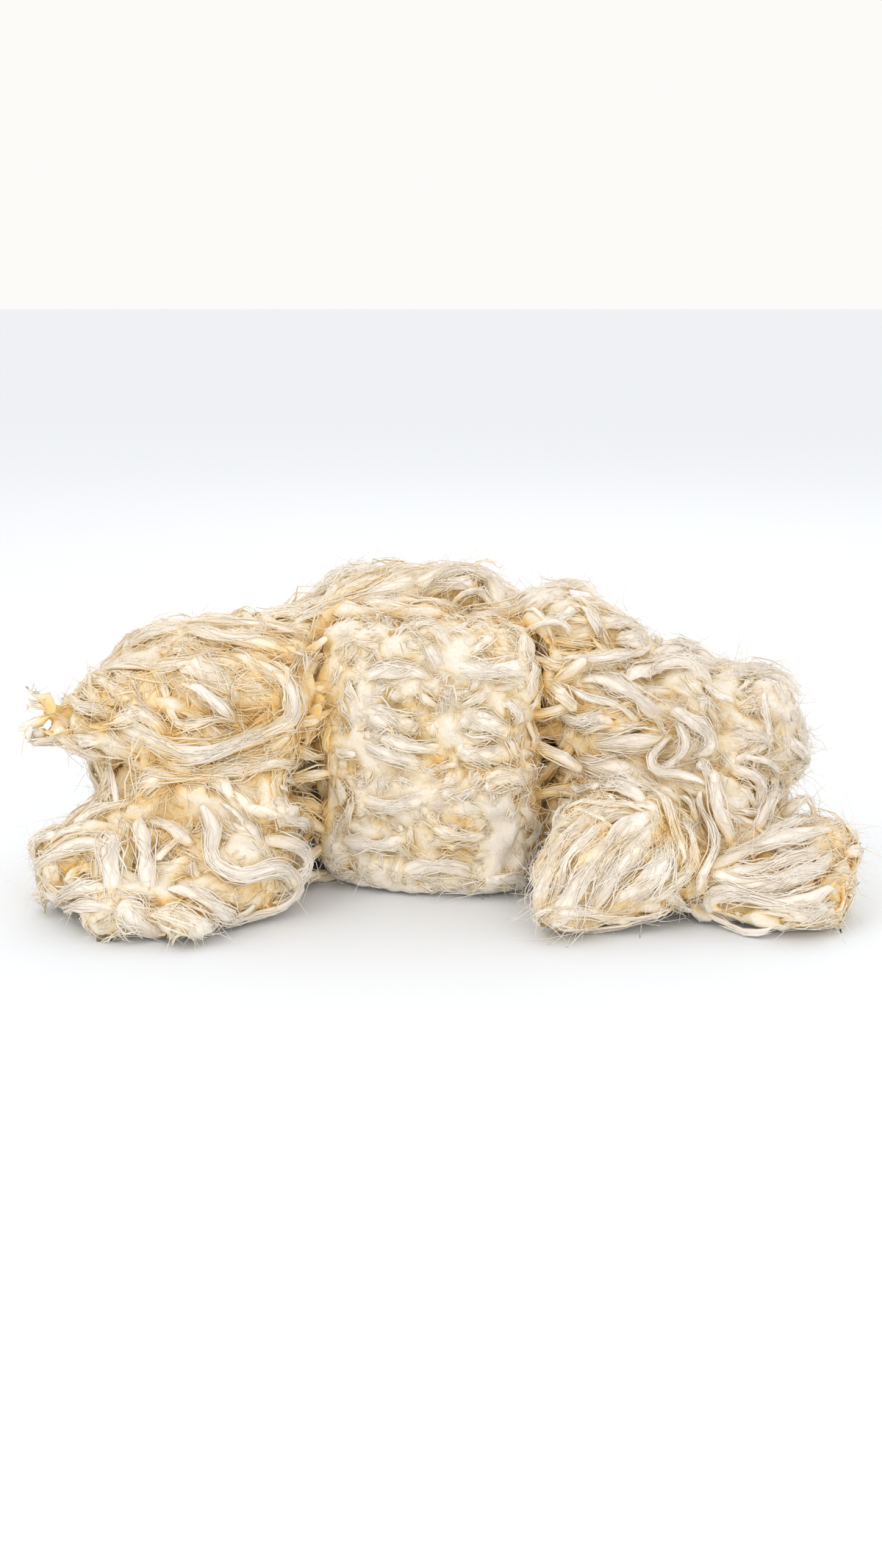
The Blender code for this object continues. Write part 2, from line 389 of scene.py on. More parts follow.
woolColoursWithPaintedShade = {
    # how deep between the locks, from 0 at the outermost wool to 1: colour. The deeper colours are painted
    # shade, golden where the creases lie in shade
    0.00: (0.962, 0.900, 0.820),
    0.22: (0.960, 0.875, 0.745),
    0.45: (0.965, 0.840, 0.625),
    0.70: (0.965, 0.760, 0.420),
    1.00: (0.960, 0.680, 0.280),
}
lightest = 0.97  # no channel of the wool's colour goes over this
# painted shade: how the crease map is read and how much yellower some wool is painted; the patch keys are
# the wool's own random tone
paintedShadeAndPatches = {
    "cell": 0.004,
    "margin": 0.06,
    "near": (0.0050, 0.0060, 0.55),  # softness in metres, distance outward, share of the result
    "wide": (0.0150, 0.0180, 0.45),
    "levels": (5, 85),  # the percentages of the wool that count as outermost and deepest
    "undersides": 0.13,  # painted shade and light: how much yellower the wool is that faces down than the wool that faces up
    "sides": 0.16,  # and how much yellower between the strands than on top of them, as painted shade
    "matting": 0.10,  # and how much yellower the matting is than the locks, as painted shade on the wool under them
    "patchCell": 0.012,
    "patchSize": 0.055,
    "patchAmount": 0.15,
    "samples": 40000,
}


class WoolPile:
    # collects closed strands, then makes them one piece

    def __init__(self):
        self.places, self.faces, self.grain, self.outward = [], [], [], []
        self.areas, self.tints, self.count, self.triangles = [], [], 0, 0

    def addStrands(self, lines, outward, halfWide, halfThick, sides, tint):
        # lines and outward: strand by strand, ring by ring; tint moves the colour as the painted crease
        # shade does
        strands, rings = lines.shape[:2]
        along = unit(np.gradient(lines, axis=1))
        across = unit(np.cross(along, outward))
        upward = np.cross(across, along)
        angles = np.pi / 2 + 2 * np.pi * np.arange(sides) / sides
        ring = lines[:, :, None] + across[:, :, None] * (halfWide[..., None] * np.cos(angles))[..., None]
        ring = ring + upward[:, :, None] * (halfThick[..., None] * np.sin(angles))[..., None]
        first = lines[:, :1] - along[:, :1] * halfWide[:, :1, None]
        last = lines[:, -1:] + along[:, -1:] * halfWide[:, -1:, None]
        body = ring.reshape(strands, rings * sides, 3)
        places = np.concatenate([body, first, last], 1)
        stride = rings * sides + 2
        start = np.arange(rings - 1)[:, None] * sides
        side = np.arange(sides)[None, :]
        other = (side + 1) % sides
        quads = np.stack([start + side, start + other, start + sides + other, start + sides + side], -1)
        a, b, c, d = quads.reshape(-1, 4).T
        side, other, end = side[0], other[0], (rings - 1) * sides
        template = np.concatenate([
            np.stack([a, b, c], 1),
            np.stack([a, c, d], 1),
            np.stack([other, side, np.full(sides, rings * sides)], 1),
            np.stack([end + side, end + other, np.full(sides, rings * sides + 1)], 1),
        ])
        offsets = self.count + np.arange(strands)[:, None, None] * stride
        self.faces.append((template[None] + offsets).reshape(-1, 3))
        gaps = np.linalg.norm(np.diff(lines, axis=1), axis=2)
        lengths = np.concatenate([np.zeros((strands, 1)), np.cumsum(gaps, 1)], 1)
        step = gaps.mean(1)[:, None]
        girth = np.arange(sides) / sides * 2 * np.pi
        grain = np.stack([
            np.broadcast_to(np.cos(girth), (strands, rings, sides)) * halfWide[..., None],
            np.broadcast_to(np.sin(girth), (strands, rings, sides)) * halfThick[..., None],
            np.broadcast_to(lengths[..., None] * woolGrain["stretch"], (strands, rings, sides)),
        ], -1).reshape(strands, -1, 3) + rng.random((strands, 1, 3)) * 0.5
        self.grain.append(np.concatenate([grain, grain[:, :1], grain[:, -1:]], 1).reshape(-1, 3))
        out = np.repeat(outward, sides, 1)
        self.outward.append(np.concatenate([out, outward[:, :1], outward[:, -1:]], 1).reshape(-1, 3))
        area = np.repeat((halfWide + halfThick) * np.pi * step / sides, sides, 1)
        self.areas.append(np.concatenate([area, np.zeros((strands, 2))], 1).ravel())
        radial = ring[..., 2] - lines[:, :, None, 2]
        facing = radial / np.maximum(np.linalg.norm(ring - lines[:, :, None], axis=-1), 1e-6)
        # painted shade: wool that faces down and the lower sides of each strand are yellower, the tops
        # whiter
        tints = np.broadcast_to(tint, (strands,))[:, None, None] - paintedShadeAndPatches["undersides"] * facing
        tints = tints - paintedShadeAndPatches["sides"] * np.sin(angles)
        tints = tints.reshape(strands, -1)
        self.tints.append(np.concatenate([tints, tints[:, :1], tints[:, -1:]], 1).ravel())
        self.places.append(places.reshape(-1, 3))
        self.count += strands * stride
        self.triangles += strands * len(template)

    def gather(self):
        for part in ("places", "faces", "grain", "outward", "areas", "tints"):
            setattr(self, part, np.concatenate(getattr(self, part)))
        self.places = insideRoom(self.places)

    def make(self, name, material, colours):
        mesh = bpy.data.meshes.new(name)
        mesh.vertices.add(len(self.places))
        mesh.vertices.foreach_set("co", self.places.astype(np.float32).ravel())
        mesh.loops.add(len(self.faces) * 3)
        mesh.loops.foreach_set("vertex_index", self.faces.astype(np.int32).ravel())
        mesh.polygons.add(len(self.faces))
        mesh.polygons.foreach_set("loop_start", np.arange(0, len(self.faces) * 3, 3, dtype=np.int32))
        mesh.update(calc_edges=True)
        mesh.shade_smooth()
        grain = mesh.attributes.new("grain", "FLOAT_VECTOR", "POINT")
        grain.data.foreach_set("vector", self.grain.astype(np.float32).ravel())
        return finishPiece(name, mesh, colours, material)


room = {
    "share": 0.03,  # how far wool may stand out of the heap's own box: a share of the side, and metres
    "past": 0.008,
    "soft": 0.012,
    "lowest": 0.0004,
}


def insideRoom(places):
    # draws in gently whatever stands too far out
    low, high = np.array(cadBox[0]), np.array(cadBox[1])
    allowed, soft = (high - low) * room["share"] + room["past"], room["soft"]
    places = places.copy()
    for side, edge in ((1, high + allowed - soft), (-1, low - allowed + soft)):
        past = (places - edge) * side
        drawn = edge + side * soft * np.tanh(np.maximum(past, 0) / soft)
        places = np.where(past > 0, drawn, places)
    places[:, 2] = np.maximum(places[:, 2], room["lowest"])
    return places


def finishPiece(name, mesh, colours, material):
    stored = mesh.attributes.new("woolColour", "FLOAT_COLOR", "POINT")
    full = np.concatenate([np.clip(colours, 0, lightest), np.ones((len(colours), 1))], 1)
    stored.data.foreach_set("color", full.astype(np.float32).ravel())
    mesh.materials.clear()
    mesh.materials.append(material)
    piece = bpy.data.objects.new(name, mesh)
    bpy.context.scene.collection.objects.link(piece)
    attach(piece, "root")
    return piece


def blurred(grid, size):
    half = int(np.ceil(size * 2.5))
    weights = np.exp(-0.5 * (np.arange(-half, half + 1) / size) ** 2)
    weights /= weights.sum()
    for axis in range(3):
        total = np.zeros_like(grid)
        for shift, weight in zip(range(-half, half + 1), weights):
            total += np.roll(grid, shift, axis) * weight
        grid = total
    return grid


class CreaseShadeMap:
    # knows how much wool lies round a place, so that painted shade can make the depths between locks golden

    def __init__(self, places, areas):
        self.low = places.min(0) - paintedShadeAndPatches["margin"]
        shape = np.ceil((places.max(0) + paintedShadeAndPatches["margin"] - self.low) / paintedShadeAndPatches["cell"]).astype(int)
        spots = ((places - self.low) / paintedShadeAndPatches["cell"]).astype(int)
        flat = np.ravel_multi_index(spots.T, shape)
        filled = np.bincount(flat, areas, minlength=int(np.prod(shape))).reshape(shape)
        self.grids = []
        for part in ("near", "wide"):
            softness, reach, share = paintedShadeAndPatches[part]
            self.grids.append((blurred(filled, softness / paintedShadeAndPatches["cell"]), reach, share))
        self.levels = [None, None]

    def sample(self, grid, places):
        spots = (places - self.low) / paintedShadeAndPatches["cell"] - 0.5
        spots = np.clip(spots, 0, np.array(grid.shape) - 1.001)
        base = spots.astype(int)
        part = spots - base
        total = np.zeros(len(places))
        for corner in range(8):
            step = np.array([corner & 1, corner >> 1 & 1, corner >> 2 & 1])
            weight = np.prod(np.where(step, part, 1 - part), axis=1)
            x, y, z = (base + step).T
            total += weight * grid[x, y, z]
        return total

    def depths(self, places, outward):
        readings = [self.sample(grid, places + outward * reach) for grid, reach, _ in self.grids]
        if self.levels[0] is None:
            self.levels = [np.percentile(reading, paintedShadeAndPatches["levels"]) for reading in readings]
        total = np.zeros(len(places))
        for reading, (low, high), (_, _, share) in zip(readings, self.levels, self.grids):
            total += share * np.clip((reading - low) / (high - low), 0, 1.2)
        return total


def coloursAt(depths):
    levels = np.array(list(woolColoursWithPaintedShade))
    rows = np.array(list(woolColoursWithPaintedShade.values()))
    return np.stack([np.interp(depths, levels, rows[:, channel]) for channel in range(3)], -1)


def patchesAt(places):
    # slow changes from whiter to yellower wool, read on a coarse net of cells
    cell = paintedShadeAndPatches["patchCell"]
    keys, back = np.unique(np.round(places / cell).astype(int), axis=0, return_inverse=True)
    size = paintedShadeAndPatches["patchSize"]
    values = np.array([noise.noise(Vector(key * cell) / size + Vector((7, 3, 1))) for key in keys])
    return values[back.ravel()] * paintedShadeAndPatches["patchAmount"]


lockBuild = {
    "step": 0.007,  # between the points of a lock's line
    "tuck": 0.009,  # how far a lock's ends go into the matting
    "sway": 0.0014,  # how much it rises and falls along its length
    "endWidth": 0.4,  # as shares of the lock's own
    "endThickness": 0.08,
    "lumps": (0.18, 0.12, 0.2),  # how uneven it is: slowly and quickly in width, and in thickness
    # the core lies under the strands; its tint is painted shade, a yellower colour
    "core": {"sides": 6, "share": 0.72, "tint": 0.09},
    "strandsPerMetre": 560.0,  # strands side by side across a lock
    "strandReach": (0.35, 1.0),  # a strand's length as a share of the lock's
    "strandHalfWidth": (0.00036, 0.00100),
    "strandSides": 3,
    "ringGap": {"shown": 0.0095, "others": 0.0125},
    "wander": 0.42,
    "spread": 0.6,  # how much wider the strands lie at a lock's ends
    "ripple": 0.0005,
    "fray": 0.0035,  # how far a strand's ends stand off
    "fineShare": 0.3,
    "fineWidth": 0.45,
    "edgeTint": 0.22,  # painted shade: how much yellower a lock is at its edges than in its middle
    "tintSpread": 0.07,
    "swirlSize": 0.045,
}


def waves(share, count, low, high):
    # one slow, irregular wave along each strand
    speeds, starts = rng.uniform(low, high, (count, 1)), rng.uniform(0, 6.28, (count, 1))
    return np.sin(share * speeds + starts)


def along(rows, share):
    # reads rows of points at shares of their length
    spot = np.clip(share, 0, 1) * (len(rows) - 1)
    base = np.minimum(spot.astype(int), len(rows) - 2)
    part = (spot - base)[..., None]
    return rows[base] * (1 - part) + rows[base + 1] * part


def lockBody(points, normals, halfWidth, halfThick, lift, blunt):
    # the lock's middle line with its ends tucked in, its directions, and its half width and thickness
    share = np.linspace(0, 1, len(points))
    arch = np.sin(np.pi * share) ** 0.5
    rise = lift + (arch - 1) * lockBuild["tuck"] + lockBuild["sway"] * waves(share, 1, 5, 12)[0]
    middle = points + normals * rise[:, None]
    forward = unit(np.gradient(middle, axis=0))
    across = unit(np.cross(forward, normals))
    outward = np.cross(across, forward)
    ends = np.minimum(share, 1 - share)
    endWidth, endThickness = lockBuild["endWidth"], lockBuild["endThickness"]
    slow, quick, full = lockBuild["lumps"]
    lumps = (1 + slow * waves(share, 1, 5, 14)[0]) * (1 + quick * waves(share, 1, 12, 24)[0])
    wide = halfWidth * (np.clip(ends * 6 + blunt, 0, 1) ** 0.6 * (1 - endWidth) + endWidth) * lumps
    thick = halfThick * (np.clip(ends * 3 + blunt, 0, 1) ** 0.8 * (1 - endThickness) + endThickness)
    thick = thick * (1 + full * waves(share, 1, 4, 10)[0])
    return middle, across, outward, wide, np.minimum(thick, wide)


def addLock(pile, points, normals, halfWidth, halfThick, lift, tint, blunt=0.0, dense=1.0):
    # a soft flattened lock: a slim core with fine strands over it that wander and fray
    points, normals = softened(points, 3), unit(softened(normals, 5))
    middle, across, outward, wide, thick = lockBody(points, normals, halfWidth, halfThick, lift, blunt)
    core, own = lockBuild["core"], np.arange(0, len(points), 1 if blunt else 2)
    # the core gets a yellower tint, painted shade under the strands
    pile.addStrands(middle[None, own], outward[None, own], wide[None, own] * core["share"],
                    thick[None, own] * core["share"], core["sides"], tint + core["tint"])
    strands = max(4, int(2 * halfWidth * lockBuild["strandsPerMetre"] * dense))
    length = np.linalg.norm(np.diff(middle, axis=0), axis=1).sum()
    reach = rng.uniform(*lockBuild["strandReach"], (strands, 1))
    begin = rng.random((strands, 1)) * (1 - reach)
    rings = max(4, int(np.ceil(length * 0.62 / lockBuild["ringGap"]["shown" if blunt else "others"])))
    own = np.linspace(0, 1, rings)[None]
    spots = begin + reach * own
    mid, side, out = along(middle, spots), along(across, spots), along(outward, spots)
    wideAt, thickAt = along(wide[:, None], spots)[..., 0], along(thick[:, None], spots)[..., 0]
    offset = (np.arange(strands)[:, None] + rng.random((strands, 1))) / strands * 2 - 1
    offset = np.clip(offset * 1.02 + lockBuild["wander"] * waves(own, strands, 2, 8), -1.12, 1.12)
    offset = offset * (1 + lockBuild["spread"] * np.abs(spots * 2 - 1) ** 4)
    ripple = lockBuild["ripple"] * waves(own, strands, 6, 16)
    height = np.sqrt(np.clip(1 - offset ** 2, 0.02, 1)) * thickAt + ripple
    fine = rng.random((strands, 1)) < lockBuild["fineShare"]
    tips = np.abs(own * 2 - 1) ** 3
    loose = lockBuild["fray"] * rng.random((strands, 1)) * (tips + 0.5 * fine)
    lines = mid + side * (offset * wideAt)[..., None] + out * (height + loose)[..., None]
    size = rng.uniform(*lockBuild["strandHalfWidth"], (strands, 1))
    size = size * np.where(fine, lockBuild["fineWidth"], 1.0) * (1.1 - 0.85 * tips)
    # painted shade at the lock's edges
    tint = tint + lockBuild["edgeTint"] * np.abs(offset[:, rings // 2]) ** 2
    tint = tint + rng.normal(0, lockBuild["tintSpread"], strands)
    pile.addStrands(lines, out, size * 1.1, size * 0.8, lockBuild["strandSides"], tint)


wandering = {
    "hiddenGap": 0.005,  # nearer than this to the bundle no lock starts
    "clearance": 0.003,  # and none goes on
    "lowestStart": 0.004,
    "lowest": 0.0035,
    "thin": 0.03,  # a tip is narrower than this
    "apart": 0.72,  # the least distance between starts, as a share of their usual one
    "turn": 0.4,  # how fast a path takes up the slope of the surface
    "swirls": 1.2,  # how differently neighbouring paths curl
}


def farFrom(kept, spot, gap):
    return not len(kept) or np.min(np.sum((kept - spot) ** 2, axis=1)) > gap ** 2


class Ground:
    # a surface that locks can lie on

    def __init__(self, mesh, neighbours, avoid=None):
        self.mesh, self.neighbours, self.avoid = mesh, neighbours, avoid
        self.tree = treeOf(mesh)

    def seeds(self, gap):
        # places spread evenly over the surface, about this far apart
        places, triangles = meshArrays(self.mesh)
        a, b, c = (places[triangles[:, k]] for k in range(3))
        areas = np.linalg.norm(np.cross(b - a, c - a), axis=1) / 2
        count = int(areas.sum() / gap ** 2 * 3)
        chosen = rng.choice(len(areas), count, p=areas / areas.sum())
        u, v = rng.random(count), rng.random(count)
        flip = u + v > 1
        u[flip], v[flip] = 1 - u[flip], 1 - v[flip]
        spots = a[chosen] + (b - a)[chosen] * u[:, None] + (c - a)[chosen] * v[:, None]
        kept = np.empty((0, 3))
        for spot in spots[spots[:, 2] > wandering["lowestStart"]]:
            if self.hidden(Vector(spot), wandering["hiddenGap"]):
                continue
            if farFrom(kept, spot, gap * wandering["apart"]):
                kept = np.vstack([kept, spot])
        return kept

    def thin(self, spot):
        # true on a narrow tip, such as the horns on the left
        place, normal, _, _ = self.tree.find_nearest(Vector(spot))
        through = self.tree.ray_cast(place - normal * 0.001, -normal)[3]
        return through is not None and through < wandering["thin"]

    def hidden(self, place, gap):
        # between the bundle and the heap behind it no lock shows
        return any(tree.find_nearest(place)[3] < gap for tree in self.neighbours)

    def blocked(self, place):
        if place.z < wandering["lowest"]:
            return True
        if self.avoid is None:
            return False
        near, normal, _, _ = self.avoid.find_nearest(place)
        return (place - near).dot(normal) < wandering["clearance"]

    def walk(self, spot, heading, length, swirl, straying):
        # steps over the surface and returns the path's points and outward directions
        place, normal, _, _ = self.tree.find_nearest(Vector(spot))
        points, normals = [], []
        for _ in range(max(5, int(length / lockBuild["step"]))):
            if self.blocked(place):
                break
            points.append(place[:])
            normals.append(normal[:])
            curl = noise.noise_vector(place / lockBuild["swirlSize"] + swirl)
            heading = heading + curl * straying
            heading = heading - normal * heading.dot(normal)
            if heading.length < 1e-6:
                break
            heading.normalize()
            place, near, _, _ = self.tree.find_nearest(place + heading * lockBuild["step"])
            normal = (normal * (1 - wandering["turn"]) + near * wandering["turn"]).normalized()
        return np.array(points), np.array(normals)


def smoothShares(shares):
    # a smooth line through the given shares of width and height
    rows = np.array(shares, float)
    full = np.vstack([2 * rows[0] - rows[1], rows, 2 * rows[-1] - rows[-2]])
    line = []
    for k in range(1, len(full) - 2):
        p0, p1, p2, p3 = full[k - 1:k + 3]
        for t in np.linspace(0, 1, 8, endpoint=False):
            line.append(0.5 * (2 * p1 + (p2 - p0) * t + (2 * p0 - 5 * p1 + 4 * p2 - p3) * t ** 2
                               + (3 * p1 - 3 * p2 + p3 - p0) * t ** 3))
    return np.array(line + [full[-2]])


def evened(points, normals, step):
    gaps = np.linalg.norm(np.diff(points, axis=0), axis=1)
    lengths = np.concatenate([[0], np.cumsum(gaps)])
    count = max(5, int(lengths[-1] / step) + 1)
    marks = np.linspace(0, lengths[-1], count)
    place = np.stack([np.interp(marks, lengths, points[:, axis]) for axis in range(3)], -1)
    out = np.stack([np.interp(marks, lengths, normals[:, axis]) for axis in range(3)], -1)
    return place, unit(out)


draping = {
    "jump": 0.035,  # a leap in distance over this is taken for the edge of something in front
    "stepOver": 0.012,  # and the line goes only this far in or out there
}


def drapedPath(ground, shares):
    # lays a line, given by shares of the heap's width and height from the front, on the surface
    points, normals, last = [], [], None
    for across, up in smoothShares(shares):
        start, heading, (hit, normal, _, distance) = frontPlace(ground.tree, across, up)
        if hit is None:
            if last is None:
                continue
            hit, normal = start + heading * last, Vector(normals[-1])
        else:
            if last is not None and abs(distance - last) > draping["jump"]:
                hit = start + heading * (last + math.copysign(draping["stepOver"], distance - last))
                distance = (hit - start).length
            last = distance
        points.append(hit[:])
        normals.append(normal[:])
    if len(points) < 4:
        return None, None
    points, normals = softened(np.array(points), 6), unit(softened(np.array(normals), 10))
    return evened(points, normals, lockBuild["step"])


# the locks that show most, each: width, thickness and lift in metres, then its line; and the hollows
# between them, each: across, up, width and depth in metres. Across and up are shares of the heap's own size
leftLocks = [
    (0.026, 0.008, 0.006, [(0.095, 0.56), (0.128, 0.50), (0.167, 0.44), (0.216, 0.42), (0.264, 0.46),
                           (0.305, 0.53)]),
    (0.022, 0.006, 0.004, [(0.14, 0.43), (0.19, 0.37), (0.23, 0.33), (0.24, 0.27)]),
    (0.022, 0.006, 0.004, [(0.17, 0.40), (0.22, 0.36), (0.27, 0.39), (0.31, 0.43)]),
    (0.014, 0.007, 0.005, [(0.108, 0.43), (0.142, 0.36), (0.191, 0.33), (0.241, 0.38)]),
    (0.011, 0.007, 0.006, [(0.248, 0.36), (0.285, 0.39), (0.314, 0.40), (0.338, 0.45)]),
    (0.009, 0.005, 0.006, [(0.100, 0.53), (0.096, 0.44), (0.097, 0.34), (0.098, 0.22)]),
    (0.018, 0.010, 0.009, [(0.203, 0.25), (0.218, 0.16), (0.208, 0.05), (0.235, 0.01), (0.277, 0.05),
                           (0.311, 0.00), (0.321, -0.05), (0.289, -0.08)]),
    (0.016, 0.009, 0.007, [(0.160, -0.03), (0.203, -0.07), (0.231, -0.13), (0.264, -0.10)]),
    (0.034, 0.013, 0.005, [(0.09, -0.08), (0.12, -0.14), (0.14, -0.20)]),
    (0.032, 0.012, 0.005, [(0.145, -0.10), (0.18, -0.15), (0.21, -0.19)]),
    (0.024, 0.010, 0.006, [(0.090, 0.17), (0.088, 0.06), (0.090, -0.05)]),
    (0.020, 0.010, 0.005, [(0.122, 0.21), (0.130, 0.08), (0.133, -0.05)]),
    (0.018, 0.008, 0.004, [(0.035, 0.66), (0.088, 0.76), (0.140, 0.81), (0.190, 0.85)]),
    (0.011, 0.006, 0.004, [(0.190, 0.87), (0.238, 0.86), (0.304, 0.84), (0.335, 0.81)]),
    (0.018, 0.008, 0.004, [(0.196, 0.84), (0.217, 0.80), (0.273, 0.80), (0.31, 0.77)]),
    (0.013, 0.006, 0.003, [(0.088, 0.72), (0.137, 0.70), (0.182, 0.72), (0.238, 0.74), (0.287, 0.68)]),
    (0.040, 0.009, 0.003, [(0.185, 0.74), (0.208, 0.70), (0.225, 0.66), (0.248, 0.58)]),
    (0.018, 0.009, 0.005, [(0.265, 0.75), (0.308, 0.67), (0.319, 0.59), (0.308, 0.52), (0.270, 0.46),
                           (0.23, 0.43)]),
    (0.012, 0.006, 0.003, [(0.161, 0.60), (0.175, 0.52), (0.196, 0.50), (0.224, 0.55), (0.273, 0.54)]),
    (0.016, 0.008, 0.004, [(0.020, 0.60), (0.063, 0.60), (0.105, 0.55)]),
    (0.016, 0.008, 0.004, [(0.021, 0.52), (0.049, 0.46), (0.092, 0.42)]),
    (0.016, 0.008, 0.003, [(0.056, 0.37), (0.063, 0.30), (0.080, 0.22)]),
    (0.022, 0.010, 0.006, [(0.108, 0.26), (0.135, 0.32), (0.166, 0.36)]),
    (0.009, 0.005, 0.006, [(0.249, 0.35), (0.287, 0.39), (0.315, 0.41), (0.340, 0.47)]),
    (0.007, 0.005, 0.006, [(0.290, 0.35), (0.323, 0.32), (0.333, 0.27), (0.319, 0.23), (0.287, 0.24)]),
    (0.015, 0.008, 0.004, [(0.255, 0.25), (0.287, 0.22), (0.323, 0.20), (0.342, 0.15)]),
    (0.018, 0.008, 0.004, [(0.277, 0.14), (0.308, 0.12), (0.330, 0.08), (0.325, 0.00), (0.280, -0.04)]),
    (0.006, 0.004, 0.005, [(0.225, 0.27), (0.245, 0.22), (0.256, 0.17)]),
    (0.015, 0.009, 0.006, [(0.135, 0.20), (0.160, 0.16), (0.192, 0.11)]),
    (0.020, 0.010, 0.004, [(-0.005, 0.02), (0.017, 0.08), (0.063, 0.12), (0.090, 0.08)]),
    (0.018, 0.009, 0.004, [(-0.005, -0.07), (0.028, -0.05), (0.063, -0.03), (0.095, -0.05)]),
    (0.013, 0.008, 0.004, [(0.004, -0.11), (0.042, -0.10), (0.088, -0.10), (0.104, -0.14)]),
    (0.015, 0.009, 0.006, [(0.150, -0.11), (0.168, -0.09), (0.182, -0.15), (0.211, -0.19)]),
    (0.014, 0.008, 0.004, [(0.161, -0.03), (0.196, -0.05), (0.217, -0.10), (0.238, -0.14)]),
    (0.014, 0.008, 0.004, [(0.217, -0.14), (0.273, -0.11), (0.322, -0.06)]),
    (0.011, 0.006, 0.002, [(0.030, 0.57), (0.010, 0.58), (-0.012, 0.60)]),
    (0.011, 0.006, 0.002, [(0.030, 0.56), (0.008, 0.54), (-0.014, 0.51)]),
]
leftHollows = [
    (0.130, 0.74, 0.026, 0.010), (0.152, 0.69, 0.024, 0.010), (0.264, 0.61, 0.040, 0.013),
    (0.160, 0.24, 0.034, 0.014), (0.205, 0.19, 0.024, 0.010), (0.264, -0.01, 0.024, 0.012),
    (0.313, 0.27, 0.022, 0.012), (0.185, 0.52, 0.020, 0.008), (0.295, 0.09, 0.026, 0.012),
    (0.080, 0.42, 0.026, 0.008), (0.160, -0.09, 0.026, 0.008), (0.340, 0.55, 0.026, 0.012),
]
crestLocks = [
    (0.024, 0.010, 0.006, [(0.365, 0.90), (0.434, 0.90), (0.493, 0.88), (0.525, 0.85)]),
    (0.020, 0.009, 0.004, [(0.318, 0.86), (0.364, 0.90), (0.423, 0.94), (0.465, 1.00), (0.487, 1.05)]),
    (0.028, 0.012, 0.003, [(0.339, 0.95), (0.388, 1.01), (0.425, 1.05)]),
    (0.012, 0.006, 0.004, [(0.385, 0.93), (0.425, 0.915), (0.465, 0.90), (0.510, 0.875)]),
    (0.009, 0.005, 0.005, [(0.420, 0.935), (0.460, 0.93), (0.500, 0.915), (0.540, 0.885)]),
    (0.012, 0.005, 0.003, [(0.390, 0.885), (0.430, 0.88), (0.470, 0.87), (0.500, 0.86)]),
    (0.026, 0.010, 0.004, [(0.451, 0.94), (0.493, 1.01), (0.535, 1.03), (0.560, 0.98), (0.571, 0.92)]),
    (0.018, 0.008, 0.004, [(0.430, 0.92), (0.470, 0.95), (0.520, 0.99), (0.545, 0.98)]),
    (0.009, 0.006, 0.006, [(0.511, 0.90), (0.521, 0.96), (0.546, 0.97), (0.562, 0.92)]),
    (0.004, 0.003, 0.006, [(0.490, 1.05), (0.514, 1.04), (0.545, 1.03), (0.571, 1.05)]),
    (0.026, 0.011, 0.004, [(0.514, 0.85), (0.563, 0.88), (0.595, 0.90), (0.626, 0.93), (0.655, 0.98)]),
    (0.008, 0.005, 0.006, [(0.605, 0.84), (0.634, 0.87), (0.662, 0.85), (0.655, 0.82)]),
    (0.013, 0.009, 0.008, [(0.672, 0.91), (0.681, 0.85), (0.692, 0.79)]),
    (0.012, 0.008, 0.004, [(0.617, 0.87), (0.644, 0.86), (0.665, 0.92)]),
    (0.018, 0.008, 0.003, [(0.690, 0.87), (0.715, 0.85), (0.748, 0.85)]),
    (0.022, 0.012, 0.005, [(0.710, 0.81), (0.728, 0.80), (0.750, 0.78)]),
    (0.016, 0.010, 0.004, [(0.620, 0.96), (0.655, 0.98), (0.690, 0.95)]),
]
crestHollows = [
    (0.428, 0.955, 0.040, 0.007), (0.423, 0.842, 0.030, 0.004), (0.534, 0.910, 0.024, 0.010),
    (0.669, 0.807, 0.028, 0.012), (0.590, 0.860, 0.020, 0.006), (0.700, 0.820, 0.020, 0.008),
]
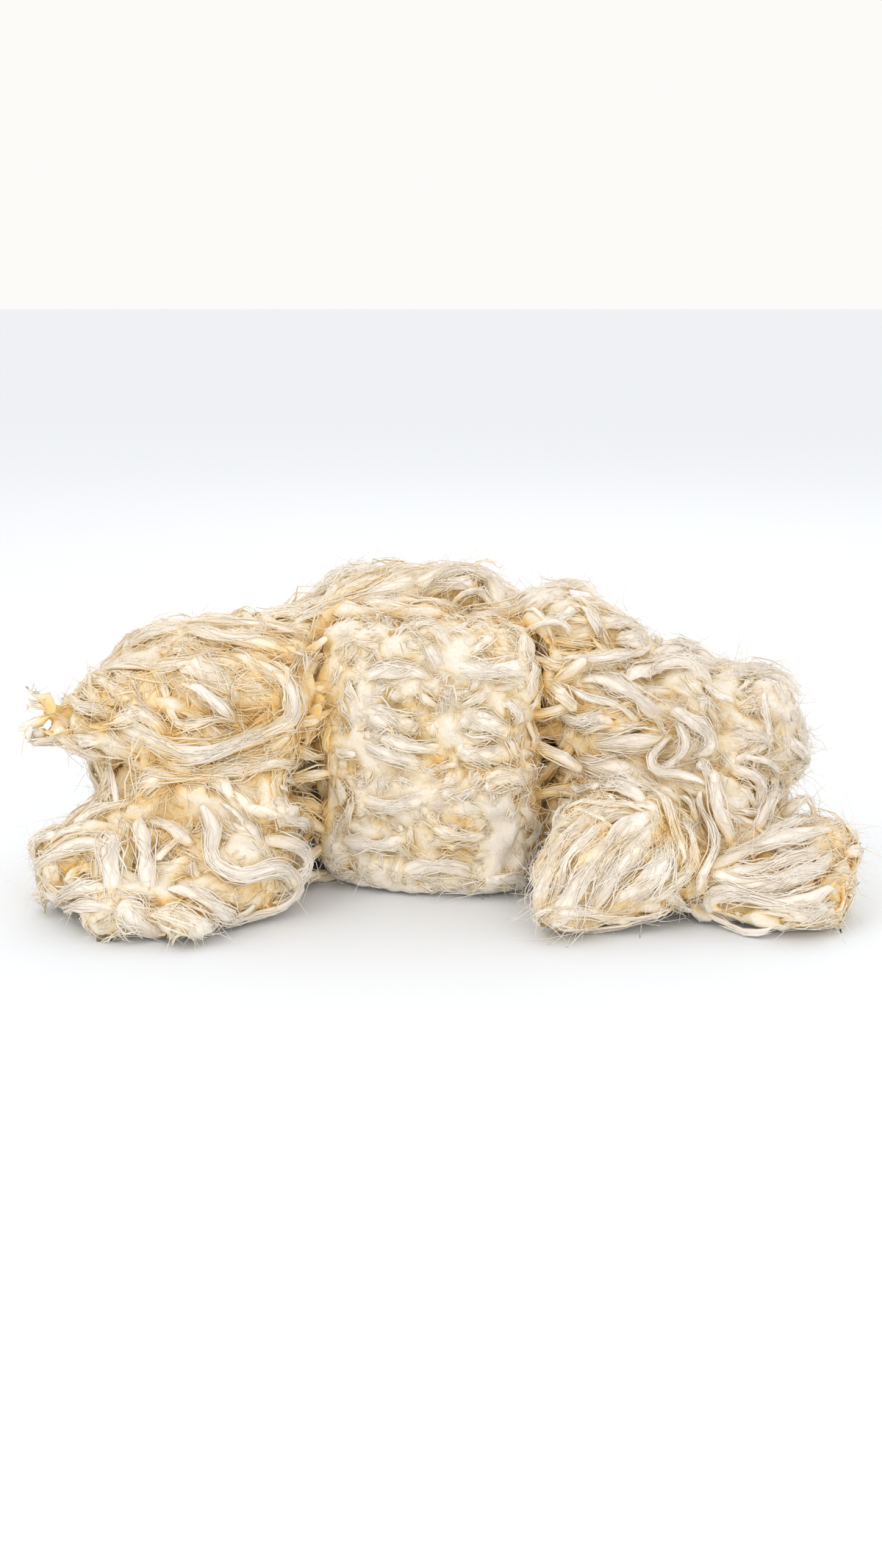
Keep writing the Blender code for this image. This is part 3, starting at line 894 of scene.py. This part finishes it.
rightLocks = [
    (0.010, 0.008, 0.006, [(0.650, 0.75), (0.697, 0.74), (0.739, 0.75), (0.756, 0.79)]),
    (0.024, 0.010, 0.005, [(0.760, 0.75), (0.792, 0.77), (0.820, 0.76), (0.835, 0.73)]),
    (0.026, 0.010, 0.006, [(0.730, 0.68), (0.767, 0.70), (0.806, 0.72), (0.825, 0.66)]),
    (0.009, 0.008, 0.007, [(0.650, 0.66), (0.669, 0.62), (0.687, 0.59), (0.718, 0.59), (0.736, 0.54),
                           (0.746, 0.52)]),
    (0.018, 0.009, 0.004, [(0.673, 0.68), (0.715, 0.66), (0.743, 0.61), (0.760, 0.56), (0.785, 0.55)]),
    (0.020, 0.010, 0.003, [(0.640, 0.55), (0.675, 0.55), (0.715, 0.54)]),
    (0.020, 0.010, 0.006, [(0.638, 0.48), (0.697, 0.47), (0.750, 0.47), (0.778, 0.49)]),
    (0.022, 0.010, 0.004, [(0.638, 0.45), (0.680, 0.40), (0.722, 0.37), (0.760, 0.36)]),
    (0.011, 0.009, 0.009, [(0.785, 0.49), (0.758, 0.43), (0.750, 0.38), (0.762, 0.34), (0.792, 0.34),
                           (0.828, 0.32)]),
    (0.011, 0.008, 0.005, [(0.785, 0.56), (0.806, 0.49), (0.800, 0.41), (0.771, 0.37)]),
    (0.017, 0.009, 0.006, [(0.780, 0.58), (0.813, 0.53), (0.836, 0.48), (0.830, 0.43), (0.813, 0.42)]),
    (0.014, 0.008, 0.005, [(0.817, 0.42), (0.834, 0.33)]),
    (0.017, 0.011, 0.008, [(0.836, 0.37), (0.841, 0.27), (0.854, 0.20), (0.861, 0.12)]),
    (0.016, 0.010, 0.006, [(0.912, 0.35), (0.908, 0.26), (0.890, 0.16)]),
    (0.007, 0.006, 0.006, [(0.868, 0.42), (0.904, 0.41), (0.916, 0.35)]),
    (0.009, 0.006, 0.005, [(0.818, 0.67), (0.834, 0.62), (0.849, 0.60), (0.864, 0.60)]),
    (0.006, 0.005, 0.005, [(0.897, 0.64), (0.897, 0.55), (0.902, 0.47)]),
    (0.010, 0.009, 0.010, [(0.822, 0.30), (0.827, 0.17), (0.838, 0.11), (0.827, 0.03), (0.824, -0.06)]),
    (0.009, 0.006, 0.004, [(0.795, 0.29), (0.813, 0.24), (0.821, 0.18)]),
    (0.030, 0.018, 0.010, [(0.712, 0.31), (0.729, 0.29), (0.748, 0.27)]),
    (0.010, 0.009, 0.008, [(0.660, 0.33), (0.669, 0.28), (0.690, 0.29), (0.712, 0.33)]),
    (0.007, 0.005, 0.004, [(0.622, 0.32), (0.648, 0.27), (0.682, 0.24)]),
    (0.008, 0.006, 0.004, [(0.629, 0.39), (0.663, 0.36), (0.692, 0.34)]),
    (0.010, 0.006, 0.004, [(0.620, 0.16), (0.655, 0.19), (0.692, 0.22)]),
    (0.018, 0.010, 0.005, [(0.925, 0.48), (0.943, 0.43), (0.932, 0.36), (0.912, 0.34)]),
    (0.017, 0.010, 0.005, [(0.855, 0.38), (0.883, 0.36), (0.897, 0.30), (0.890, 0.21)]),
    (0.014, 0.009, 0.004, [(0.897, 0.12), (0.925, 0.16), (0.956, 0.20)]),
    (0.018, 0.010, 0.004, [(0.925, 0.22), (0.950, 0.27), (0.968, 0.22)]),
    (0.022, 0.010, 0.003, [(0.835, 0.69), (0.876, 0.70), (0.911, 0.69), (0.945, 0.64)]),
    (0.006, 0.005, 0.003, [(0.935, 0.65), (0.950, 0.62), (0.970, 0.61)]),
]
rightHollows = [
    (0.771, 0.59, 0.036, 0.012), (0.680, 0.42, 0.020, 0.006), (0.700, 0.33, 0.044, 0.014),
    (0.790, 0.25, 0.030, 0.012), (0.785, 0.19, 0.026, 0.012), (0.850, 0.55, 0.030, 0.008),
    (0.690, 0.64, 0.024, 0.010), (0.875, 0.10, 0.024, 0.010), (0.780, 0.42, 0.020, 0.010),
    (0.860, 0.31, 0.016, 0.010), (0.740, 0.56, 0.022, 0.008), (0.650, 0.13, 0.030, 0.012),
]
tuftLocks = [
    (0.026, 0.009, 0.005, [(0.750, 0.24), (0.697, 0.22), (0.655, 0.12), (0.631, 0.00), (0.622, -0.14)]),
    (0.030, 0.010, 0.006, [(0.760, 0.22), (0.726, 0.17), (0.694, 0.07), (0.670, -0.04), (0.645, -0.15)]),
    (0.026, 0.009, 0.005, [(0.771, 0.20), (0.747, 0.12), (0.722, 0.03), (0.697, -0.06), (0.670, -0.14)]),
    (0.028, 0.010, 0.005, [(0.792, 0.18), (0.779, 0.07), (0.758, -0.01), (0.733, -0.08)]),
    (0.018, 0.008, 0.005, [(0.810, 0.14), (0.812, 0.03), (0.785, -0.03), (0.758, -0.07)]),
    (0.020, 0.008, 0.003, [(0.617, -0.10), (0.644, -0.12), (0.697, -0.12), (0.750, -0.11)]),
    (0.014, 0.007, 0.006, [(0.700, 0.20), (0.672, 0.10), (0.652, 0.00), (0.640, -0.10)]),
    (0.014, 0.007, 0.006, [(0.740, 0.19), (0.712, 0.08), (0.690, -0.02), (0.668, -0.10)]),
    (0.012, 0.006, 0.005, [(0.770, 0.02), (0.735, -0.05), (0.700, -0.10)]),
]
tuftHollows = [(0.733, 0.13, 0.014, 0.010), (0.727, 0.05, 0.014, 0.010), (0.781, 0.06, 0.014, 0.008)]
footLocks = [
    (0.022, 0.011, 0.005, [(0.830, 0.04), (0.876, 0.07), (0.915, 0.11), (0.950, 0.14), (0.990, 0.18)]),
    (0.024, 0.011, 0.006, [(0.838, 0.02), (0.883, -0.03), (0.925, -0.03), (0.961, 0.02), (0.990, 0.08)]),
    (0.018, 0.009, 0.004, [(0.850, 0.02), (0.900, 0.02), (0.940, 0.06), (0.985, 0.11)]),
    (0.020, 0.011, 0.007, [(0.842, -0.12), (0.834, -0.07), (0.855, -0.04), (0.883, -0.07), (0.918, -0.11),
                           (0.961, -0.09), (0.990, -0.03)]),
    (0.022, 0.012, 0.004, [(0.930, -0.13), (0.960, -0.13), (0.985, -0.09)]),
    (0.009, 0.006, 0.004, [(0.835, -0.13), (0.876, -0.16), (0.922, -0.18)]),
    (0.018, 0.010, 0.005, [(0.758, -0.06), (0.785, -0.05), (0.813, -0.12)]),
]
footHollows = [(0.930, -0.065, 0.024, 0.005), (0.845, 0.08, 0.022, 0.010), (0.868, -0.10, 0.012, 0.006)]
bundleLocks = [
    (0.030, 0.010, 0.003, [(0.405, 0.56), (0.435, 0.55), (0.470, 0.50)]),
    (0.018, 0.008, 0.004, [(0.420, 0.50), (0.455, 0.46), (0.500, 0.44)]),
    (0.018, 0.008, 0.003, [(0.400, 0.46), (0.440, 0.43), (0.480, 0.38)]),
    (0.026, 0.010, 0.003, [(0.515, 0.45), (0.550, 0.42), (0.590, 0.44)]),
    (0.024, 0.010, 0.003, [(0.545, 0.34), (0.580, 0.36), (0.615, 0.33)]),
    (0.012, 0.007, 0.005, [(0.575, 0.60), (0.600, 0.57), (0.592, 0.52)]),
    (0.020, 0.008, 0.003, [(0.400, 0.68), (0.440, 0.71), (0.490, 0.69)]),
    (0.022, 0.008, 0.003, [(0.520, 0.72), (0.560, 0.70), (0.605, 0.72)]),
    (0.026, 0.010, 0.003, [(0.520, 0.56), (0.555, 0.53), (0.590, 0.50)]),
    (0.018, 0.008, 0.003, [(0.375, 0.14), (0.415, 0.12), (0.460, 0.13)]),
    (0.022, 0.009, 0.003, [(0.450, 0.03), (0.500, 0.05), (0.545, 0.02)]),
    (0.014, 0.007, 0.004, [(0.550, -0.02), (0.585, 0.02), (0.610, -0.03)]),
    (0.016, 0.008, 0.003, [(0.600, 0.25), (0.620, 0.18), (0.605, 0.10)]),
    (0.020, 0.009, 0.003, [(0.400, 0.27), (0.440, 0.25), (0.480, 0.27)]),
    (0.014, 0.007, 0.003, [(0.365, 0.35), (0.385, 0.30), (0.372, 0.24)]),
    (0.016, 0.008, 0.003, [(0.485, 0.19), (0.520, 0.14), (0.560, 0.16)]),
]
bundleHollows = [
    (0.375, 0.52, 0.016, 0.008), (0.400, 0.525, 0.016, 0.007), (0.440, 0.60, 0.016, 0.006),
    (0.470, 0.415, 0.020, 0.009), (0.500, 0.385, 0.020, 0.009), (0.530, 0.385, 0.020, 0.009),
    (0.385, 0.385, 0.016, 0.008), (0.410, 0.265, 0.014, 0.005), (0.375, 0.230, 0.018, 0.008),
    (0.430, 0.215, 0.018, 0.006), (0.480, 0.60, 0.014, 0.006), (0.565, 0.390, 0.018, 0.008),
    (0.600, 0.285, 0.018, 0.008), (0.520, 0.060, 0.018, 0.008), (0.610, 0.02, 0.018, 0.008),
]
locks = {
    "heap": leftLocks + crestLocks + rightLocks + tuftLocks + footLocks,
    "bundle": bundleLocks,
}
hollows = {
    "heap": leftHollows + crestHollows + rightHollows + tuftHollows + footHollows,
    "bundle": bundleHollows,
}
ways = {
    # handful: the way its locks run, how much they stray, lock length, width, thickness, gap, tint
    "bundle": ((1.0, 0.0, 0.20), 3.0, 0.038, 0.021, 0.0045, 0.0185, 0.06),
    "front_tuft": ((-0.6, -0.2, -1.0), 0.20, 0.100, 0.014, 0.0045, 0.0200, -0.02),
    "left_foot": ((0.6, 0.0, -0.5), 1.2, 0.065, 0.023, 0.0060, 0.0275, 0.03),
    "right_foot": ((1.0, 0.0, -0.15), 0.5, 0.090, 0.020, 0.0080, 0.0245, 0.02),
    "left_crown": ((1.0, 0.0, 0.05), 0.6, 0.100, 0.028, 0.0065, 0.0285, 0.12),
    "right_shoulder": ((0.3, 0.0, -0.6), 1.4, 0.048, 0.015, 0.0055, 0.0180, 0.00),
    "right_crown": ((0.8, 0.0, -0.5), 0.8, 0.070, 0.015, 0.0090, 0.0210, 0.02),
    "back_crest": ((1.0, 0.0, 0.05), 0.5, 0.095, 0.021, 0.0090, 0.0250, 0.06),
    "right_base": ((0.5, -0.3, -0.8), 0.6, 0.080, 0.015, 0.0100, 0.0240, 0.02),
    "left_base": ((0.2, 0.0, -1.0), 0.8, 0.075, 0.018, 0.0095, 0.0250, 0.08),
    "back_base": ((0.3, 0.0, -1.0), 0.8, 0.085, 0.021, 0.0095, 0.0280, 0.06),
}
flattened = {
    # handful: share of a shown lock's thickness that is left, and how much lower it lies
    "bundle": (0.7, 0.001),
    "front_tuft": (0.6, 0.002),
    "left_foot": (0.8, 0.001),
}
shownLocks = {
    "raised": 0.0015,
    # painted light: the shown locks on top are whiter than those under them
    "whiter": 0.08,
    "blunt": 0.12,  # how full their ends stay
    "dense": 1.35,
}
guiding = {
    "reach": 0.022,  # how far a shown lock turns its neighbours
    "least": 0.15,
}


def nearestHandful(place, names):
    return min(names, key=lambda name: nodeTrees[name].find_nearest(Vector(place))[3])


def layShownLocks(ground, names, rows, guides):
    for width, thickness, lift, shares in rows:
        points, normals = drapedPath(ground, shares)
        if points is None:
            continue
        name = nearestHandful(points[len(points) // 2], names)
        flatter, lower = flattened.get(name, (1.0, 0.0))
        thickness, lift = thickness * flatter, lift - lower
        guides.append((points, unit(np.gradient(points, axis=0))))
        # the shown locks are painted whiter, as painted light on the top layer
        addLock(piles[name], points, normals, width / 2, thickness / 2, lift + shownLocks["raised"],
                ways[name][6] - shownLocks["whiter"], shownLocks["blunt"], shownLocks["dense"])


def guidedHeading(place, guidePoints, guideHeadings, fallback):
    # locks between the shown ones follow the way that their neighbours run
    if len(guidePoints) == 0:
        return fallback
    weights = np.exp(-np.sum((guidePoints - place) ** 2, axis=1) / guiding["reach"] ** 2)
    total = weights.sum()
    if total < guiding["least"]:
        return fallback
    main = guideHeadings[np.argmax(weights)]
    aligned = guideHeadings * np.sign(guideHeadings @ main)[:, None]
    share = min(1.0, total)
    return Vector((aligned * weights[:, None]).sum(0) / total) * share + fallback * (1 - share)


gapLocks = {
    # locks that close the narrow gaps beside the bundle, set from its own box
    "sides": {"left_base": -1, "right_base": 1},
    "count": 17,
    "outward": (0.004, 0.016),
    "behindFront": (0.028, 0.062),
    "heights": (0.03, 0.85),  # shares of the bundle's height
    "lowest": 0.006,
    "sway": (0.005, 0.004),  # in depth and in height
    "length": (0.045, 0.075),
    "slant": 0.9,  # the most that they slope, in radians
    "backward": 0.016,  # how much deeper their inner ends lie
    "size": (0.7, 1.2),
    "width": 0.017,
    "thickness": 0.008,
    # painted shade: the locks in the narrow gaps beside the bundle are yellower
    "tint": 0.22,
}


def layGapLocks():
    low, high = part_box("bundle")
    for name, side in gapLocks["sides"].items():
        for spot in np.linspace(*gapLocks["heights"], gapLocks["count"]):
            length = rng.uniform(*gapLocks["length"])
            count = max(6, int(length / lockBuild["step"]))
            t = np.linspace(-0.5, 0.5, count)
            edge = high[0] if side > 0 else low[0]
            slope = rng.uniform(-1, 1) * gapLocks["slant"]
            across = edge + side * (rng.uniform(*gapLocks["outward"]) + t * length * math.cos(slope))
            deep = low[1] + rng.uniform(*gapLocks["behindFront"]) - t * gapLocks["backward"]
            deep = deep + gapLocks["sway"][0] * waves(t, 1, 3, 7)[0]
            height = low[2] + spot * (high[2] - low[2]) + t * length * math.sin(slope)
            height = height + gapLocks["sway"][1] * waves(t, 1, 4, 9)[0]
            points = np.stack([across, deep, np.clip(height, gapLocks["lowest"], None)], -1)
            normals = np.tile([side * 0.25, -1.0, 0.2], (count, 1))
            halfWidth = gapLocks["width"] / 2 * rng.uniform(*gapLocks["size"])
            # the gap locks take painted shade, a yellower tint
            addLock(piles[name], points, unit(normals), halfWidth, gapLocks["thickness"] / 2, 0.0,
                    gapLocks["tint"])


patchLocks = {
    # small locks over the places that the others leave bare
    "bare": 0.0065,  # distance to the nearest lock in metres
    "lowest": 0.006,
    "hiddenGap": 0.002,
    "apart": 0.019,
    "length": (0.030, 0.060),
    "size": (0.7, 1.2),
    "straying": 0.3,
    "turning": 0.6,
    "tintSpread": 0.06,
    "width": 0.015,
    "thickness": 0.0045,
}


def bareSpots(name):
    # the matting's own places that no lock covers
    covered = np.concatenate([places for pile in piles.values() for places in pile.places])[::2]
    tree = kdtree.KDTree(len(covered))
    for row, place in enumerate(covered):
        tree.insert(place, row)
    tree.balance()
    places = meshArrays(mattings[name])[0]
    places = places[places[:, 2] > patchLocks["lowest"]]
    return np.array([place for place in places if tree.find(place)[2] > patchLocks["bare"]])


def layPatchLocks(group):
    ground, kept = grounds[group], np.empty((0, 3))
    for spot in rng.permutation(bareSpots(group)):
        if ground.hidden(Vector(spot), patchLocks["hiddenGap"]):
            continue
        if not farFrom(kept, spot, patchLocks["apart"]):
            continue
        kept = np.vstack([kept, spot])
        name = nearestHandful(spot, groups[group])
        heading = Vector(ways[name][0]).normalized() + Vector(rng.normal(0, patchLocks["turning"], 3))
        length = rng.uniform(*patchLocks["length"])
        swirl = Vector(rng.random(3)) * wandering["swirls"]
        points, normals = ground.walk(spot, heading, length, swirl, patchLocks["straying"])
        if len(points) > 4:
            scale = rng.uniform(*patchLocks["size"])
            tint = ways[name][6] + rng.normal(0, patchLocks["tintSpread"])
            addLock(piles[name], points, normals, patchLocks["width"] / 2 * scale,
                    patchLocks["thickness"] / 2 * scale, 0.0, tint)


fillLayers = (
    # lift in metres, shares of the handful's lock width, thickness and length, how dense, on top or not
    (-0.0018, 1.35, 0.85, 1.20, 0.75, False),
    (0.0016, 0.55, 0.75, 1.05, 1.25, True),
)
fillLocks = {
    "apart": 0.024,
    "fromShown": 0.009,  # the ones on top start this far from the shown locks
    "backBegins": 0.06,
    "backShare": 0.45,  # how many are laid at the back, and on top
    "topShare": 0.55,
    "length": (0.55, 1.4),
    "size": (0.65, 1.3),
    "onTips": 0.5,
    "raised": 0.005,  # how far the ones on top stand up at most
    # painted light: the locks on top are whiter than the layer under them
    "whiter": 0.02,
    "tintSpread": 0.06,
}


def layFillLocks(ground, names, guides):
    guidePoints = np.concatenate([rows for rows, _ in guides]) if guides else np.empty((0, 3))
    guideHeadings = np.concatenate([rows for _, rows in guides]) if guides else np.empty((0, 3))
    for lift, widthShare, thickShare, reach, dense, top in fillLayers:
        for spot in ground.seeds(fillLocks["apart"]):
            if top and not farFrom(guidePoints, spot, fillLocks["fromShown"]):
                continue
            name = nearestHandful(spot, names)
            direction, straying, length, width, thickness, gap, tint = ways[name]
            chance = (fillLocks["apart"] / gap) ** 2
            chance = chance * (fillLocks["backShare"] if spot[1] > fillLocks["backBegins"] else 1.0)
            if rng.random() > chance * (fillLocks["topShare"] if top else 1.0):
                continue
            heading = guidedHeading(spot, guidePoints, guideHeadings, Vector(direction).normalized())
            heading = heading + Vector(rng.normal(0, 1, 3)) * straying * 0.4
            length = length * reach * rng.uniform(*fillLocks["length"])
            swirl = Vector(rng.random(3)) * wandering["swirls"]
            points, normals = ground.walk(spot, heading, length, swirl, 0.14 + 0.12 * min(straying, 1.3))
            if len(points) < 5:
                continue
            scale = rng.uniform(*fillLocks["size"]) * (fillLocks["onTips"] if ground.thin(spot) else 1.0)
            stand = lift + (rng.random() ** 2 * fillLocks["raised"] if top and name != "bundle" else 0.0)
            # the top locks are painted whiter, as painted light
            tint = tint + rng.normal(0, fillLocks["tintSpread"]) - (fillLocks["whiter"] if top else 0.0)
            addLock(piles[name], points, normals, width / 2 * widthShare * scale,
                    thickness / 2 * thickShare * scale ** 0.5, stand, tint, 0.0, dense)


fuzz = {
    # how many fibres lie along the locks, stand off them, and lie where the matting shows
    "lying": {"right_shoulder": 1300, "bundle": 1200, "left_crown": 1100, "back_base": 200, "others": 720},
    "standing": {"right_shoulder": 800, "bundle": 40, "left_crown": 300, "others": 160},
    "matted": {"heap": 900, "bundle": 200},
    "halfWidth": (0.00020, 0.00042),
    "widthShare": {"lying": 1.0, "standing": 0.7, "matted": 1.5},
    "length": (0.009, 0.028),
    "lengthShare": {"lying": 1.0, "standing": 0.65, "matted": 1.0},
    "lowest": {"lying": 0.010, "standing": 0.030},
    "follow": (0.002, 0.020),  # a fibre follows its lock between two places that are this far apart
    "lift": (0.0003, 0.0016),
    "drift": 0.45,
    "bend": 0.6,
    "crimp": 0.09,
    "rings": 4,
    "sides": 3,
    "tint": -0.10,
}


def layFibres(stray, name, ground, kind):
    if kind == "matted":
        places = bareSpots(name)
        count = fuzz[kind][name]
    else:
        places = np.concatenate(piles[name].places)
        places = places[places[:, 2] > fuzz["lowest"][kind]]
        count = fuzz[kind].get(name, fuzz[kind]["others"])
    rows = rng.choice(len(places) - 8, count)
    starts = places[rows]
    normals = np.array([ground.tree.find_nearest(Vector(start))[1][:] for start in starts])
    step = places[rows + 3] - starts
    size = np.linalg.norm(step, axis=1)
    follows = ((size > fuzz["follow"][0]) & (size < fuzz["follow"][1]))[:, None]
    chance = rng.normal(0, 1, (count, 3))
    if kind == "standing":
        heading = unit(chance + normals * 0.7)
        bend = rng.normal(0, 0.9, (count, 3)) - normals * 0.5
    else:
        heading = np.where(follows, unit(step), chance) + chance * fuzz["drift"]
        heading = unit(heading - normals * np.sum(heading * normals, 1, keepdims=True) + normals * 0.10)
        starts = starts + normals * rng.uniform(*fuzz["lift"], (count, 1))
        bend = rng.normal(0, 0.8, (count, 3)) - normals * 0.25
    heading, bend = heading[:, None], bend[:, None]
    length = rng.uniform(*fuzz["length"], (count, 1, 1)) * fuzz["lengthShare"][kind]
    t = np.linspace(0, 1, fuzz["rings"])[None, :, None]
    side = unit(np.cross(heading, normals[:, None] + 0.01))
    speeds, begins = rng.uniform(5, 11, (count, 1, 1)), rng.uniform(0, 6.28, (count, 1, 1))
    crimp = np.sin(t * speeds + begins) * fuzz["crimp"]
    lines = starts[:, None] + heading * t * length
    lines = lines + bend * t ** 2 * length * fuzz["bend"] + side * crimp * length
    width = rng.uniform(*fuzz["halfWidth"], (count, 1)) * (1.15 - t[..., 0] * 0.7) * fuzz["widthShare"][kind]
    outward = np.broadcast_to(normals[:, None], lines.shape)
    stray.addStrands(lines, outward, width, width, fuzz["sides"], fuzz["tint"])


def layFuzz(name, ground):
    stray = WoolPile()
    for kind in ("lying", "standing"):
        layFibres(stray, name, ground, kind)
    return stray


matting = {
    "sink": 0.0022,  # how far the matted wool lies under the locks' surface
    "wispSize": 0.010,
    "wispHeight": 0.0016,
    "fill": {"bundle": 0.7, "heap": 0.3},
}


def shapeMatting(surface):
    mesh = surface.copy()
    places, normals = meshArrays(mesh)[0], normalArray(mesh)
    wisps = np.array([noise.noise(Vector(place) / matting["wispSize"]) for place in places])
    places += normals * (wisps * matting["wispHeight"] - matting["sink"])[:, None]
    setPlaces(mesh, insideRoom(places))
    mesh.shade_smooth()
    return mesh


def makeMatting(name, mesh, nodeNames, colours):
    piece = finishPiece(name + "_matting", mesh, colours, mattedWool)
    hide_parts(*nodeNames)


makeCamera()
makeStudio()
bpy.context.view_layer.update()
print("outer surface")
nodeTrees = {name: treeOf(weldedCopy([name])) for name in handfuls}
surfaces = {name: puffedSurface(name) for name in groups}
grounds = {
    "heap": Ground(surfaces["heap"], [nodeTrees["bundle"]], nodeTrees["bundle"]),
    "bundle": Ground(surfaces["bundle"], [nodeTrees[name] for name in groups["heap"]]),
}
mattings = {name: shapeMatting(surface) for name, surface in surfaces.items()}

print("locks")
piles = {name: WoolPile() for name in handfuls}
for group, names in groups.items():
    guides = []
    layShownLocks(grounds[group], names, locks[group], guides)
    print("  shown locks", group, sum(pile.triangles for pile in piles.values()))
    layFillLocks(grounds[group], names, guides if group == "heap" else [])
    layPatchLocks(group)
    print("  all locks", group, {name: piles[name].triangles for name in names})
layGapLocks()

print("stray fibres")
strays = {name: layFuzz(name, grounds["bundle" if name == "bundle" else "heap"]) for name in handfuls}
for name in mattings:
    layFibres(strays["bundle" if name == "bundle" else "back_crest"], name, grounds[name], "matted")

print("colours")
for pile in (*piles.values(), *strays.values()):
    pile.gather()
mattingPlaces = {name: meshArrays(mesh)[0] for name, mesh in mattings.items()}
mattingAreas = {
    name: np.full(len(places), relief[name]["voxel"] ** 2) for name, places in mattingPlaces.items()
}
allPlaces = np.concatenate([pile.places for pile in piles.values()] + list(mattingPlaces.values()))
allAreas = np.concatenate([pile.areas for pile in piles.values()] + list(mattingAreas.values()))
creaseShadeMap = CreaseShadeMap(allPlaces, allAreas)
sampleRows = rng.choice(sum(len(pile.places) for pile in piles.values()), paintedShadeAndPatches["samples"])
everyOut = np.concatenate([pile.outward for pile in piles.values()])
creaseShadeMap.depths(allPlaces[sampleRows], everyOut[sampleRows])

print("pieces")
mattedWool = woolMaterial("mattedWool", False)
lockWool = woolMaterial("lockWool", True)
for name, mesh in mattings.items():
    # painted crease shade from the map, plus random patches of the wool's own tone
    depths = creaseShadeMap.depths(mattingPlaces[name], normalArray(mesh)) + patchesAt(mattingPlaces[name])
    # the matting takes extra painted shade, as it lies under the locks
    makeMatting(name, mesh, groups[name], coloursAt(depths + paintedShadeAndPatches["matting"]))
for kind, group in (("_locks", piles), ("_strayFibres", strays)):
    for name, pile in group.items():
        # painted crease shade from the map, random patches, and each strand's tints, which carry painted
        # shade as well as random tone
        depths = creaseShadeMap.depths(pile.places, pile.outward) + patchesAt(pile.places) + pile.tints
        pile.make(name + kind, lockWool, coloursAt(depths))
counts = {piece.name: len(meshArrays(piece.data)[1]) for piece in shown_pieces()}
print("triangles", sum(counts.values()), "most in one piece", max(counts.values()))
